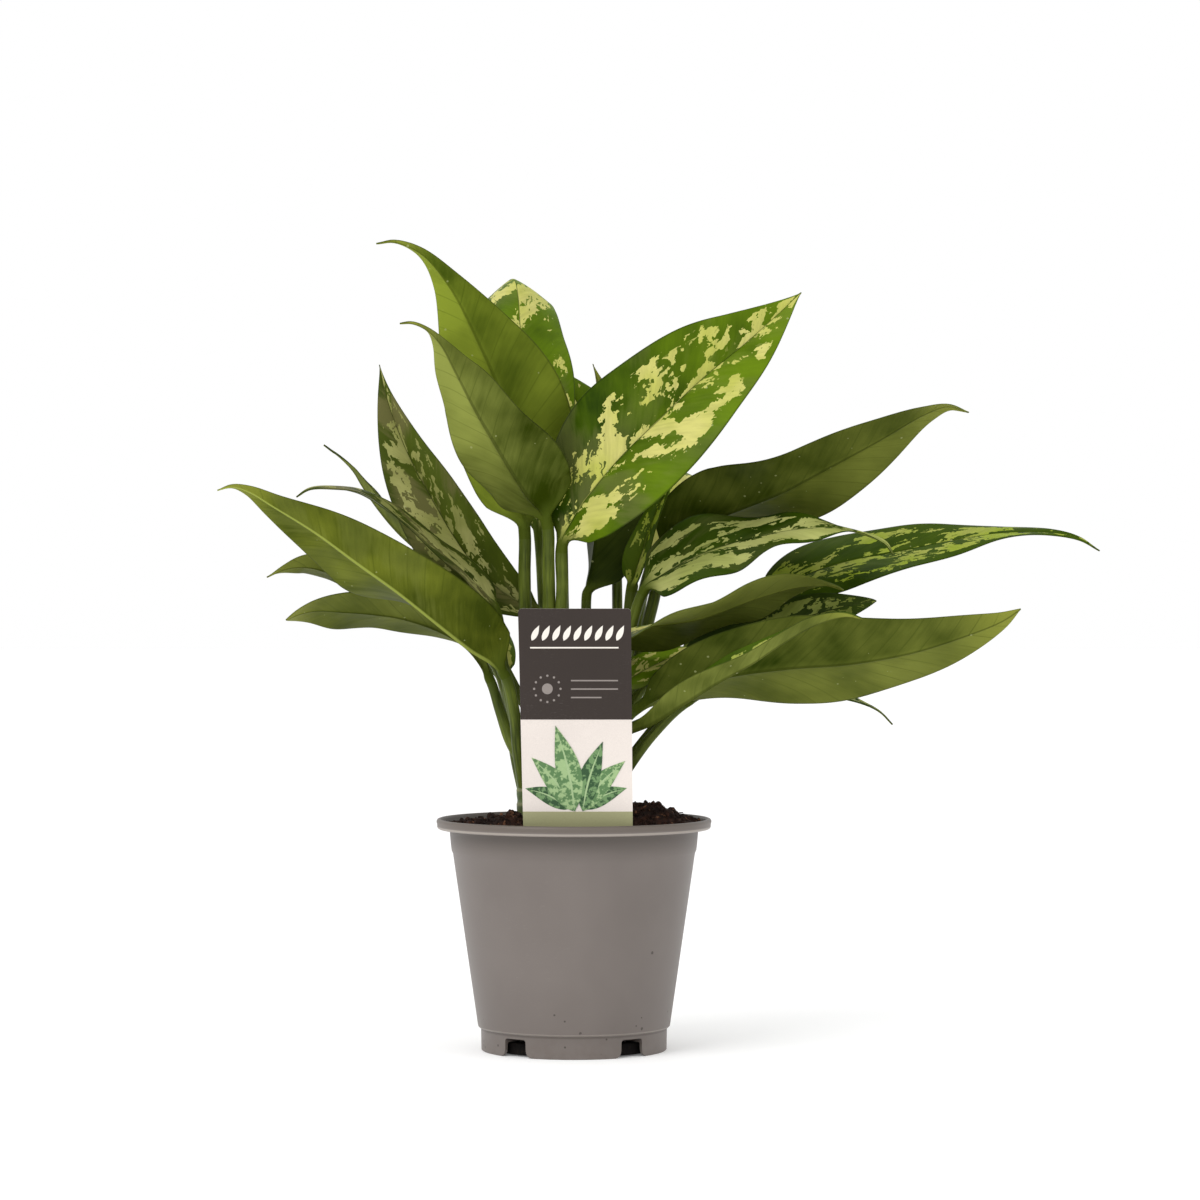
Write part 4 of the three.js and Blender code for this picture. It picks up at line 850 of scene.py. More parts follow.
LEAVES = [
    {
        "name": "leaf_upper_left",
        "width": 28.8, "tip": 1.8, "stem": 2.7, "lift": (4, 4, 50, 6), "ripple": 1, "waves": 2.5,
        "phase": 0.4,
        "stalk": [(-9, 8, 122), (-15, 6, 148), (-20.5, 0, 182), (-21.5, -5, 210)],
        "rib": [
            (-21.5, -7, 231), (-26, -12, 256), (-31, -20, 287), (-41, -31, 311.5), (-53, -41, 334.5),
            (-64.5, -46, 347.6), (-76, -49, 352.4), (-83.5, -51, 351.5),
        ],
        "face": [(-0.3, 0.95, 0.15), (0, 0.9, 0.35), (0.2, 0.4, 0.9)],
        "under": "bright", "under_tone_and_light": (0.66, 0.2, 0.75, 1.1), "vein_run": 1.2,
    },
    {
        "name": "leaf_upper_front",
        "width": 23, "root": 0.38, "tip": 1.45, "stem": 2.7, "lift": (2, 8, 40, 8), "ripple": 2.4,
        "waves": 2.5, "phase": 5.14,
        "stalk": [(-9, 8, 133), (-9.5, -1, 158), (-10.5, -12, 190), (-11, -18, 216)],
        "rib": [
            (-12, -22, 235), (-20, -29, 245), (-27, -34, 256), (-34.3, -39, 268.5),
            (-41.8, -45, 281.5), (-49.7, -51, 297), (-55.5, -56, 308), (-61, -59, 314),
            (-67.5, -61, 317), (-73, -62, 317),
        ],
        "face": [(0.1, 0.95, 0.2), (0.2, 0.9, 0.4), (0.2, 0.4, 0.9)],
        "under_tone_and_light": (0.05, 0.42, 0.4, 1.3), "vein_run": 1.2,
    },
    {
        "name": "leaf_upper_back",
        "width": 21.5, "tip": 0.9, "stem": 2.4, "lift": (6, -45, 6, -30), "ripple": 1, "phase": 1,
        "stalk": [(-8, 9, 139), (-5, 17, 165), (-5, 20, 205), (-6, 18, 238)],
        "rib": [
            (-9, 16, 260), (-18, 21, 294.5), (-23.5, 29, 317), (-25.2, 41, 335), (-27.5, 58, 344),
            (-33, 80, 341), (-37, 100, 331), (-40, 114, 319),
        ],
        "face": [(0.1, -0.95, 0.2), (0.1, -0.6, 0.7), (0.1, 0.3, 0.9)],
        "upper_tone_and_light": (0.4, 0.6, 0.5, 0.8), "vein_run": 1.2,
    },
    {
        "name": "leaf_centre_tall",
        "width": 30.3, "root": 0.7, "tip": 1.15, "stem": 2.6, "lift": (4, 35, 16, 10), "ripple": 0.8,
        "phase": 0,
        "stalk": [(3, -5, 137), (-1.5, -10, 158), (-5.5, -14, 185), (-5, -16, 206)],
        "rib": [
            (-5, -18, 224), (1, -23, 237), (8, -28, 247), (21, -34, 262), (38, -38, 278.5),
            (55.5, -38, 295), (73, -34, 309.5), (87, -29, 322), (98, -24, 332.5),
        ],
        "face": [(-0.3, -0.93, 0.2), (-0.3, -0.9, 0.3), (-0.25, -0.9, 0.3)],
        "upper_tone_and_light": (0.0, 0.66, 0.4, 0.8),
    },
    {
        "name": "leaf_right_high",
        "width": 25.6, "root": 0.49, "tip": 1.06, "stem": 2.6, "lift": (38, 4, -4, -12), "ripple": 1.7,
        "phase": 4.45,
        "stalk": [(17, 5, 136), (26, 10, 165), (34, 13, 196)],
        "rib": [
            (40, 12.5, 218), (48, 10, 227), (58, 7, 234), (72, 3, 239.5), (90, -4, 246.8),
            (110, -11, 257.4), (132, -20, 269.3), (151, -27, 280.2), (161, -31, 283.4),
            (169.3, -34, 280.6),
        ],
        "face": [(-0.3, 0.9, 0.2), (-0.3, 0.8, 0.5), (-0.1, 0.6, 0.8)],
        "under": "moss", "under_tone_and_light": (0.25, 1.05, 0.05, 0.6), "vein_run": 1.4,
    },
    {
        "name": "leaf_right_arching",
        "width": 19.5, "root": 0.52, "tip": 1.6, "stem": 2.4, "lift": (4, -12, 22, 14), "ripple": 2.6,
        "waves": 3, "phase": 3.4,
        "stalk": [(17, 5, 140), (20, -5, 163), (25, -13, 188)],
        "rib": [
            (31, -18, 205), (40, -21, 212), (54, -23, 219.5), (72, -24, 225.5), (93, -27, 230),
            (114, -30, 231), (127, -32, 227.5), (134, -34, 224), (137, -35, 219.5),
        ],
        "face": [(-0.2, -0.85, 0.5), (-0.1, -0.75, 0.65), (0, -0.5, 0.85)],
        "upper": "pale", "upper_tone_and_light": (0.3, 0.5, 0.3, 0.6), "vein_run": 2.2,
    },
    {
        "name": "leaf_right_far",
        "width": 19.8, "tip": 1.7, "stem": 2.5, "lift": (-8, -4, 12, 12), "ripple": 1.2, "waves": 2.6,
        "phase": 0.5,
        "stalk": [(15, 5, 108), (23, 6.5, 126.5), (37, 8.5, 145.5), (60, 10, 172.5)],
        "rib": [
            (82, 10, 197), (97, 10, 208.5), (119, 10, 216.5), (142, 10, 221), (164, 8, 225.5),
            (186, 6, 229), (208, 3, 229.2), (221, 1, 226.6), (229.5, 0, 221.5),
        ],
        "face": [(-0.2, -0.75, 0.6), (-0.1, -0.65, 0.75), (0, -0.5, 0.85)],
        "upper": "lime", "upper_tone_and_light": (0.3, 0.5, 0.35, 0.55), "vein_run": 2.2,
    },
    {
        "name": "leaf_right_waved",
        "width": 22.5, "root": 0.36, "tip": 0.8, "stem": 2.3, "lift": (6, 6, -50, -8), "ripple": 2.2,
        "waves": 2.4, "phase": 2.4,
        "stalk": [(3, -5, 127), (7, -15, 151), (8, -20, 170)],
        "rib": [
            (9.5, -22.5, 184), (26.5, -28.5, 188.5), (54, -35, 192.5), (78, -38, 201),
            (94, -37, 205.5), (104, -35, 206.5), (111, -31, 206.5), (116, -26, 204.5),
        ],
        "face": [(-0.2, 0.65, 0.6), (-0.2, 0.42, 0.8), (0.5, 0.5, 0.7)],
        "under": "moss", "under_tone_and_light": (0.45, 0.6, 0.75, 1.25), "vein_run": 1.4,
    },
    {
        "name": "leaf_right_shaded",
        "width": 12.8, "root": 0.6, "tip": 0.76, "stem": 2, "lift": (4, 4, 4, 4), "ripple": 0.8,
        "stalk": [(17, 5, 126), (22, 1, 148), (33, 2, 165)],
        "rib": [
            (46, 2, 176), (63, -1.5, 182.5), (81, -6.5, 188), (98, -11, 192), (115, -14, 196.5),
            (131, -15.5, 199.8),
        ],
        "face": [(0, -0.75, 0.65), (0, -0.75, 0.65)],
        "upper": "dark", "under": "moss", "upper_tone_and_light": (0.3, 0.6, 0.4, 0.9),
        "under_tone_and_light": (0.2, 0.2, 0.2, 0.2), "vein_run": 1.4,
    },
    {
        "name": "leaf_right_low",
        "width": 24.6, "root": 0.78, "tip": 1.02, "stem": 2.5, "lift": (24, 8, 10, 10), "ripple": 1.2,
        "phase": 0.8,
        "stalk": [(3, -5, 119), (10, -14, 132), (19, -20, 145)],
        "rib": [
            (28, -24, 154), (47, -31, 162.5), (67, -38, 168), (92, -45, 171.5), (117, -52, 173.5),
            (142, -58, 178), (163, -63, 184.6), (180, -67, 191.5), (188, -69, 196.8),
        ],
        "face": [(0.1, 0.75, 0.6), (0.1, 0.75, 0.65), (0.1, 0.7, 0.7)],
        "upper": "lime", "under": "moss", "under_tone_and_light": (0.55, 0.85, 0.1, 0.5), "vein_run": 1.4,
    },
    {
        "name": "leaf_right_folded",
        "width": 8.6, "root": 0.9, "tip": 1, "stem": 2.4, "lift": (50, 50, 50, 50), "ripple": 1.2,
        "phase": 2.2,
        "stalk": [(3, -5, 109), (5, -15, 122), (9, -24, 133)],
        "rib": [
            (15, -31, 140), (34, -44, 148.5), (47, -56, 157), (60, -64, 165.5), (75, -69, 174),
            (87, -71, 182), (101, -72, 190), (113.5, -73, 193.7), (121.6, -73, 192.7),
        ],
        "face": [(-0.2, 0, 0.95), (-0.3, 0, 0.9), (-0.2, -0.3, 0.9)],
        "upper": "lime", "under_tone_and_light": (0.3, 0.45, 0.35, 0.5), "vein_run": 1.4,
    },
    {
        "name": "leaf_right_drooping",
        "width": 12, "tip": 1.6, "stem": 2.1, "ripple": 0.8,
        "stalk": [(15, 5, 112), (22.5, -0.5, 125), (35, -4, 142)],
        "rib": [
            (50, -7, 156), (70, -8, 163), (92, -9, 163.5), (112, -9, 159), (125, -9, 155.5),
            (133, -9, 151.5), (138.5, -9, 146),
        ],
        "face": [(0, -0.4, 0.9), (0, -0.2, 0.95)],
        "upper": "pale", "under": "moss", "upper_tone_and_light": (0.3, 0.5, 0.3, 0.5),
        "under_tone_and_light": (0.4, 0.4, 0.4, 0.4), "vein_run": 1.8,
    },
    {
        "name": "leaf_right_small",
        "width": 9, "tip": 1, "stem": 1.8, "ripple": 0.6,
        "stalk": [(4, -4, 131), (10, -5, 142), (14, -9, 151)],
        "rib": [(17, -12, 160), (28, -11.5, 168), (39, -10, 173.5), (48, -8.5, 177), (55, -7, 179)],
        "face": [(-0.3, -0.75, 0.6), (-0.2, -0.7, 0.65)],
        "upper_tone_and_light": (0.8, 1.0, 0.8, 1.0), "under_tone_and_light": (0.4, 0.4, 0.4, 0.4), "vein_run": 1.4,
    },
    {
        "name": "leaf_left_broad",
        "width": 24.6, "root": 0.45, "tip": 1.18, "stem": 2.5, "lift": (6, 6, 80, 15), "ripple": 1.2,
        "phase": 0.8,
        "stalk": [(-21, -2, 116), (-24, -8, 134), (-26, -11, 152)],
        "rib": [
            (-30.5, -14, 168.5), (-45, -21, 179), (-58, -29, 189.5), (-75, -39, 203.5),
            (-92, -49, 216.2), (-109, -58, 229), (-126, -65, 239.8), (-136, -69, 246),
            (-143, -71, 248), (-149, -72, 246.5),
        ],
        "face": [(0.3, 0.8, 0.5), (0.2, 0.8, 0.5), (0.1, 0.7, 0.7)],
        "under": "pale_rib", "under_tone_and_light": (0.05, 0.56, 0.0, 0.42), "vein_run": 1.2,
    },
    {
        "name": "leaf_left_low",
        "width": 16.5, "root": 1.0, "tip": 0.75, "stem": 2.2, "lift": (-6, -2, 45, 8), "ripple": 1.6,
        "stalk": [(-21, -2, 127), (-28, 3, 138.5), (-32.5, 5.5, 151.5)],
        "rib": [
            (-37, 7, 165.3), (-46, 9.6, 178.3), (-57.5, 10, 185.8), (-75, 4.5, 192), (-88, -1, 194),
            (-101, -7, 195), (-112, -11, 195.5), (-119, -14, 194), (-124.5, -17, 191.5),
        ],
        "face": [(0.1, 0.6, 0.6), (0.1, 0.6, 0.75), (0, 0.6, 0.8)],
        "upper": "silver", "under": "moss", "under_tone_and_light": (0.4, 0.7, 0.4, 0.6),
    },
    {
        "name": "leaf_left_hidden",
        "width": 14, "tip": 1.2, "stem": 2, "ripple": 1,
        "stalk": [(-21, -2, 128), (-27, 9, 150), (-35, 19.5, 171), (-48, 20.5, 187), (-61, 13.5, 197)],
        "rib": [
            (-74, 3, 202), (-92, -5, 208), (-105, -10, 212), (-116, -16, 214.5), (-125, -18, 213.5),
            (-132.5, -20, 210),
        ],
        "face": [(0.1, 0.4, 0.9), (0.1, 0.5, 0.8)],
        "upper": "silver", "under": "moss", "under_tone_and_light": (0.5, 0.7, 0.5, 0.7),
    },
    {
        "name": "leaf_left_upright",
        "width": 18.6, "root": 0.9, "tip": 1.3, "stem": 2.4, "lift": (12, 12, 44, 44), "ripple": 0.8,
        "stalk": [(-10, 9, 147), (-12, 13, 168), (-10.5, 13, 184)],
        "rib": [
            (-14, 12, 193), (-23.5, 11, 198.5), (-33.5, 11, 205), (-43.2, 12, 214.5),
            (-52.7, 15, 227.5), (-62.8, 18, 244.5), (-71.8, 21, 261), (-78.7, 23, 277),
            (-83.4, 25, 291), (-86.3, 27, 304),
        ],
        "face": [(-0.1, -0.8, 0.5), (-0.1, -0.95, 0.2), (-0.1, -0.95, 0.1)],
        "upper": "silver", "upper_tone_and_light": (0.45, 0.6, 0.65, 0.7), "under_tone_and_light": (0.4, 0.5, 0.4, 0.5),
        "vein_run": 1.6,
    },
    {
        "name": "leaf_left_back",
        "width": 10, "tip": 1.9, "stem": 2, "lift": (25, 25, 25, 25), "ripple": 0.6,
        "stalk": [(-9.5, 9, 128), (-20, 17, 150), (-36, 22, 180), (-52, 26, 205)],
        "rib": [
            (-64, 29, 218), (-78.5, 32, 231), (-88, 35, 242), (-94, 37, 250.5), (-98.5, 39, 257.5),
            (-104.5, 41, 263.5), (-112, 43, 269),
        ],
        "face": [(0.7, 0.1, 0.6), (0.7, -0.1, 0.7)],
        "upper": "dark", "under_tone_and_light": (0.5, 0.4, 0.5, 0.4), "vein_run": 1.4,
    },
    {
        "name": "leaf_left_arching",
        "width": 15, "tip": 1.2, "stem": 2.1, "lift": (6, 4, 10, 6), "ripple": 0.8,
        "stalk": [(-21, -2, 133), (-26.5, -5, 150), (-31, -6, 174)],
        "rib": [
            (-34, -7, 196), (-45.5, -10, 210), (-58, -14, 221), (-71, -18, 232), (-82, -21, 240.5),
            (-92.5, -24, 246.5), (-103, -27, 248.5), (-113, -29, 248), (-119, -30, 244.5),
        ],
        "face": [(0.3, -0.45, 0.8), (0.4, -0.16, 0.95), (-0.2, -0.15, 0.9)],
        "upper": "silver", "upper_tone_and_light": (0.3, 0.4, 0.3, 0.4), "under_tone_and_light": (0.3, 0.4, 0.3, 0.4),
        "vein_run": 1.6,
    },
    {
        "name": "leaf_centre_dark",
        "width": 22, "root": 0.55, "tip": 1.3, "stem": 2.2, "lift": (4, 4, 55, 40), "ripple": 0.8,
        "stalk": [(4, -4, 142), (7, 3, 168), (5.5, 7, 190)],
        "rib": [
            (5.5, 8, 202), (8.5, 12, 218), (10.5, 18, 236), (12, 25, 254), (13.5, 31, 271),
            (13, 36, 286), (10.8, 39, 296), (8.2, 41, 305),
        ],
        "face": [(0.5, 0.85, 0.1), (0.45, 0.88, 0.1)],
        "under": "deep", "under_tone_and_light": (0.2, 0.3, 0.4, 0.4),
    },
    {
        "name": "leaf_centre_back",
        "width": 15, "tip": 1.1, "stem": 2.2, "ripple": 1,
        "stalk": [(17, 6, 131), (18.5, 16, 165), (19, 30, 200), (18, 44, 232)],
        "rib": [(15, 52, 252), (10, 57, 268), (4, 60, 283), (-4, 63, 296), (-13, 66, 305)],
        "face": [(0.2, -0.9, 0.3), (0.3, -0.8, 0.5)],
        "upper_tone_and_light": (0.5, 0.7, 0.5, 0.7),
    },
    {
        "name": "leaf_centre_young",
        "width": 7.5, "tip": 1.9, "stem": 2.6, "lift": (30, 30, 30, 30), "ripple": 0.3,
        "stalk": [(18, 5, 149), (22, 5, 170), (24, 4, 192)],
        "rib": [
            (25.5, 2.5, 206), (29.5, -2, 220), (34, -6, 233), (38.5, -8, 244), (43, -10, 252.5),
            (48, -11, 259.5), (51.5, -11, 262.5),
        ],
        "face": [(-0.5, -0.8, 0.3), (-0.5, -0.8, 0.3)],
        "upper": "lime", "under": "bright", "upper_tone_and_light": (0.7, 0.8, 0.7, 0.8),
        "under_tone_and_light": (0.6, 0.7, 0.6, 0.7), "vein_run": 1.4,
    },
    {
        "name": "leaf_back_right",
        "width": 14, "tip": 1.25, "stem": 2.4, "ripple": 1.6, "waves": 2.3, "phase": 0.7,
        "stalk": [(16.5, 6, 120), (23, 14, 150), (28, 26, 190)],
        "rib": [
            (33, 38, 212), (42, 52, 232), (52, 70, 246), (60, 90, 252), (66, 108, 249), (70, 122, 240),
            (72, 131, 230),
        ],
        "face": [(0.1, -0.75, 0.5), (0.1, -0.4, 0.85), (0.1, 0.3, 0.9)],
        "upper_tone_and_light": (0.4, 0.6, 0.4, 0.6),
    },
    {
        "name": "leaf_back_left",
        "width": 17, "tip": 1.25, "stem": 2.3, "ripple": 1.6, "waves": 2.3, "phase": 2.1,
        "stalk": [(-8.5, 8, 124), (-12, 24, 158), (-14, 32, 200)],
        "rib": [
            (-16, 37, 230), (-20, 50, 252), (-27, 68, 270), (-35, 90, 283), (-42, 110, 287),
            (-47, 126, 281), (-50, 136, 272),
        ],
        "face": [(0, -0.75, 0.5), (-0.1, -0.4, 0.85), (-0.1, 0.3, 0.9)],
        "upper_tone_and_light": (0.4, 0.6, 0.4, 0.6),
    },
    {
        "name": "leaf_back_low",
        "width": 20, "tip": 1.2, "stem": 2.4, "ripple": 1.8, "waves": 2.5, "phase": 1.4,
        "stalk": [(3.5, -4, 122), (4, 10, 143), (3, 22, 160)],
        "rib": [
            (2, 32, 172), (0, 46, 181), (-1, 64, 187), (1, 84, 188), (5, 104, 183), (9, 121, 172),
            (12, 133, 158),
        ],
        "face": [(0.1, -0.5, 0.8), (0.1, -0.1, 0.95), (0.1, 0.5, 0.8)],
        "upper": "silver", "upper_tone_and_light": (0.4, 0.6, 0.4, 0.6),
    },
    {
        "name": "leaf_back_side",
        "width": 13.5, "tip": 1.25, "stem": 2.3, "ripple": 1.5, "waves": 2.2, "phase": 0.1,
        "stalk": [(-21, -1, 113), (-25.5, 8, 131), (-28.5, 18, 149)],
        "rib": [
            (-32, 28, 164), (-39, 44, 180), (-47, 64, 193), (-54, 85, 201), (-61, 104, 203),
            (-67, 119, 200), (-70, 129, 194),
        ],
        "face": [(0.2, -0.5, 0.8), (0.2, -0.1, 0.95), (0, 0.4, 0.9)],
        "upper_tone_and_light": (0.4, 0.6, 0.4, 0.6),
    },
]
LEAF_THICKNESS = 0.75
RIDGE_DEPTH = 1.25
TIP_HALF = 0.14
STALK_FLARE = 0.25
MORPH_SHARE = 0.07
LIFT_START, LIFT_SPAN = 0.12, 0.4
GROOVE_DEPTH, GROOVE_HALF = 0.42, 0.6
KEEL_HALF = 1.05
CHANNEL_DEPTH, CHANNEL_REACH = 0.22, 0.42
EDGE_NOSE = 0.12
EDGE_LAG = 0.9
STALK_RINGS, BLADE_RINGS = 26, 104
RIB_COLUMNS = np.array([0.45, 0.95, 1.6])
RIB_LIMITS = np.array([0.1, 0.2, 0.32])
BLADE_COLUMNS = np.array([0.07, 0.16, 0.27, 0.39, 0.51, 0.63, 0.75, 0.86, 0.94, 1.0])


def half_width(leaf, t):
    """Half the blade's width at a share of its length."""
    peak = leaf["root"] / (leaf["root"] + leaf["tip"])
    rise = (t / peak) ** leaf["root"]
    fall = ((1 - t) / (1 - peak)) ** leaf["tip"]
    stem = leaf["stem"] * (1 - t) ** 4
    return np.maximum(np.hypot(leaf["width"] * rise * fall, stem), TIP_HALF)


def leaf_piece(leaf, seed, materials):
    """One leaf's mesh, with where each point lies on the leaf kept as attributes."""
    line = trace_line(leaf["stalk"] + leaf["rib"])
    blade_start = line[1][SAMPLES * len(leaf["stalk"])]
    end = line[1][-1]
    stalk_share = np.linspace(0, 1, STALK_RINGS, endpoint=False)
    t = np.concatenate([np.zeros(STALK_RINGS), np.linspace(0, 1, BLADE_RINGS) ** 1.06])
    blade_run = blade_start + t[STALK_RINGS:] * (end - blade_start)
    run = np.concatenate([stalk_share * blade_start, blade_run])
    faces_at = unit(np.array(leaf["face"], float))
    where = t * (len(faces_at) - 1)
    face = np.stack([np.interp(where, range(len(faces_at)), faces_at[:, k]) for k in range(3)], 1)
    middle, up, side = sections(line, run, face)

    half = half_width(leaf, t)
    taper = 1 - 0.7 * t
    inner = np.minimum(RIB_COLUMNS * taper[:, None], RIB_LIMITS * half[:, None])
    outer = inner[:, -1:] + (half[:, None] - inner[:, -1:]) * BLADE_COLUMNS
    right = np.concatenate([inner, outer], axis=1)
    x = np.concatenate([-right[:, ::-1], np.zeros((len(t), 1)), right], axis=1)
    u = x / half[:, None]
    hand = np.sign(u)
    turn = eased((t - LIFT_START) / LIFT_SPAN)[:, None]
    lifts = [np.radians(v) for v in leaf["lift"]]
    left_lift = lifts[0] + (lifts[1] - lifts[0]) * turn
    right_lift = lifts[2] + (lifts[3] - lifts[2]) * turn
    lift = np.where(u < 0, left_lift, right_lift)
    swing = np.sin(2 * np.pi * leaf["waves"] * t[:, None] + leaf["phase"] + EDGE_LAG * hand)
    blade_calm = np.sqrt(np.clip(np.sin(np.pi * t), 0, None))[:, None]
    wave = leaf["ripple"] * np.abs(u) ** 1.5 * swing * blade_calm
    arch = 0.03 * half[:, None] * np.sin(np.pi * np.abs(u)) * blade_calm
    sway = 0.3 * blade_calm * np.sin(9 * t[:, None] + 2.1 * u + seed) * np.abs(u)
    sway += 0.16 * blade_calm * np.sin(23 * t[:, None] - 3.3 * u + 2 * seed) * np.abs(u)
    across = x * np.cos(lift)
    rise = np.abs(x) * np.sin(lift) + wave + arch + sway
    lean = eased(np.abs(x) / 2.2)
    normal_across = -hand * np.sin(lift) * lean
    normal_up = 1 - (1 - np.cos(lift)) * lean
    half_thick = (LEAF_THICKNESS / 2) * (1 - 0.5 * np.abs(u) ** 4)
    groove = GROOVE_DEPTH * taper[:, None] * np.exp(-(x / (GROOVE_HALF * taper[:, None])) ** 2)
    keel_depth = (RIDGE_DEPTH * (1 - t) ** 1.3 + 0.1)[:, None]
    keel = keel_depth * np.exp(-(x / (KEEL_HALF * taper[:, None])) ** 2)

    def placed(a, b):
        """Places across and above the leaf's line, at each of its sections."""
        return middle[:, None] + side[:, None] * a[..., None] + up[:, None] * b[..., None]

    above = placed(across + normal_across * half_thick, rise + normal_up * half_thick - groove)
    below = placed(across - normal_across * half_thick, rise - normal_up * half_thick - keel)

    def nose(column, way):
        """The rounded edge just beyond the blade's outermost column."""
        out = across[:, column] + way * EDGE_NOSE * np.cos(lift[:, column])
        high = rise[:, column] + EDGE_NOSE * np.sin(lift[:, column])
        return placed(out[:, None], high[:, None])

    flat = np.concatenate([above, nose(-1, 1), below[:, ::-1], nose(0, -1)], axis=1)
    x_ring = np.concatenate([x, x[:, -1:], x[:, ::-1], x[:, :1]], axis=1)
    u_ring = np.concatenate([u, u[:, -1:], u[:, ::-1], u[:, :1]], axis=1)
    count = flat.shape[1]

    angle = np.pi - (np.arange(count) + 1) / count * 2 * np.pi
    radius = np.full(len(t), float(leaf["stem"]))
    radius[:STALK_RINGS] *= 1 + STALK_FLARE * (1 - stalk_share) ** 2
    channel = 1 - CHANNEL_DEPTH * np.exp(-((angle - np.pi / 2) / CHANNEL_REACH) ** 2)
    ring = radius[:, None] * channel[None, :]
    round_ring = placed(ring * np.cos(angle), ring * np.sin(angle))
    morph = eased(t / MORPH_SHARE)
    points = round_ring + (flat - round_ring) * morph[:, None, None]
    places = points.reshape(-1, 3) * MM + np.array(at(0, 0, 0))

    rings = len(t)
    columns = x.shape[1]
    blade_slot = np.where(np.arange(count) < columns, 0, 1)
    blade_slot[-1] = 0
    slots = []
    for i in range(rings - 1):
        slots.extend([2] * count if i < STALK_RINGS - 1 else blade_slot.tolist())
    slots += [2, 1]
    piece = new_piece(f"{leaf['name']}_blade", places, closed_loft(count, rings), materials, slots)

    def over_ring(values):
        """One value for each section, given to every point of its ring."""
        return np.repeat(values[:, None], count, axis=1)

    y_ring = over_ring(run - blade_start)
    slant = math.hypot(1, leaf["vein_run"])
    vein = (y_ring - leaf["vein_run"] * np.abs(x_ring) + 0.012 * x_ring ** 2) / slant
    sides = np.where(x_ring < 0, 0.0, 9.0) + 41.7 * seed
    mesh = piece.data
    flat_place = np.stack([x_ring, y_ring, np.full_like(x_ring, 17.3 * seed)], axis=-1)
    set_attribute(mesh, "leaf_place", "FLOAT_VECTOR", flat_place)
    vein_place = np.stack([vein, slant * np.abs(x_ring), sides], axis=-1)
    set_attribute(mesh, "leaf_vein", "FLOAT_VECTOR", vein_place)
    t_ring = over_ring(t)
    shares = np.stack([u_ring, t_ring, np.zeros_like(t_ring)], axis=-1)
    set_attribute(mesh, "leaf_share", "FLOAT_VECTOR", shares)
    set_attribute(mesh, "leaf_rib", "FLOAT", np.abs(x_ring) / over_ring(1.25 * taper))
    # The tones paint light and shade into each half of the blade, root to tip, over its own tone.
    tones = []
    for key in ("upper_tone_and_light", "under_tone_and_light"):
        left_root, left_tip, right_root, right_tip = leaf[key]
        left_tone_and_light = left_root + (left_tip - left_root) * t_ring
        right_tone_and_light = right_root + (right_tip - right_root) * t_ring
        tones.append(left_tone_and_light + (right_tone_and_light - left_tone_and_light) * eased((u_ring + 0.12) / 0.24))
    is_under = (np.arange(count) >= columns)[None, :]
    set_attribute(mesh, "leaf_tone_and_light", "FLOAT", np.where(is_under, tones[1], tones[0]))
    return piece


# The splashes of the upper face, made of small angular cells, with its haze, streaks and clouds.
splash, splash_in, splash_out = new_group(
    "leaf_splashes",
    [("Vein", "NodeSocketVector", None), ("Place", "NodeSocketVector", None),
     ("Edge", "NodeSocketFloat", 0.0), ("Patch size", "NodeSocketFloat", 9.0),
     ("Cell size", "NodeSocketFloat", 1.3), ("Cover", "NodeSocketFloat", 0.5)],
    [("Splashes", "NodeSocketFloat"), ("Haze", "NodeSocketFloat"), ("Streaks", "NodeSocketFloat"),
     ("Clouds", "NodeSocketFloat")],
)
ALONG_VEIN = (1, 0.62, 1)
warp = add_node(splash, "ShaderNodeTexNoise", {
    "Vector": splash_in["Place"], "Scale": 0.16, "Detail": 3.0})
warp_middle = add_node(splash, "ShaderNodeVectorMath", {0: warp.outputs["Color"], 1: (0.5, 0.5, 0.5)},
                       operation="SUBTRACT")
warp_size = add_node(splash, "ShaderNodeVectorMath", {0: warp_middle.outputs[0], "Scale": 9.0},
                     operation="SCALE")
warped = add_node(splash, "ShaderNodeVectorMath", {0: splash_in["Vein"], 1: warp_size.outputs[0]},
                  operation="ADD").outputs[0]
cell_scale = reckon(splash, "DIVIDE", 1.0, splash_in["Cell size"])
cell_place = stretched(splash, warped, ALONG_VEIN)
cells, cell_chance = cell_pattern(splash, cell_place, cell_scale, distance="CHEBYCHEV")
patch_scale = reckon(splash, "DIVIDE", 1.0, splash_in["Patch size"])
patch_place = stretched(splash, cells["Position"], ALONG_VEIN)
patches = grain(splash, patch_place, patch_scale, 1.6, 0.5, 0.3)
jitter = reckon(splash, "MULTIPLY", reckon(splash, "SUBTRACT", cell_chance[0], 0.5), 0.05)
islands = reckon(splash, "MULTIPLY", reckon(splash, "GREATER_THAN", cell_chance[1], 0.95), 0.075)
holes = reckon(splash, "MULTIPLY", reckon(splash, "LESS_THAN", cell_chance[1], 0.07), -0.06)
scatter = reckon(splash, "ADD", islands, holes)
level = reckon(splash, "ADD", reckon(splash, "ADD", patches, jitter), scatter)
border = spread(splash, splash_in["Edge"], 0.7, 0.97, 0.0, 0.26)
limit = reckon(splash, "ADD", splash_in["Cover"], border)
over = reckon(splash, "SUBTRACT", level, limit)
splash.links.new(spread(splash, over, 0.0, 0.004), splash_out["Splashes"])
streaks = grain(splash, stretched(splash, splash_in["Vein"], (1, 0.09, 1)), 0.62, 3, 0.6)
haze = grain(splash, stretched(splash, splash_in["Vein"], (1, 0.3, 1)), 0.075, 2, 0.5)
haze_level = reckon(splash, "ADD", haze, reckon(splash, "MULTIPLY", streaks, 0.25))
splash.links.new(spread(splash, haze_level, 0.58, 0.72, soft=True), splash_out["Haze"])
splash.links.new(streaks, splash_out["Streaks"])
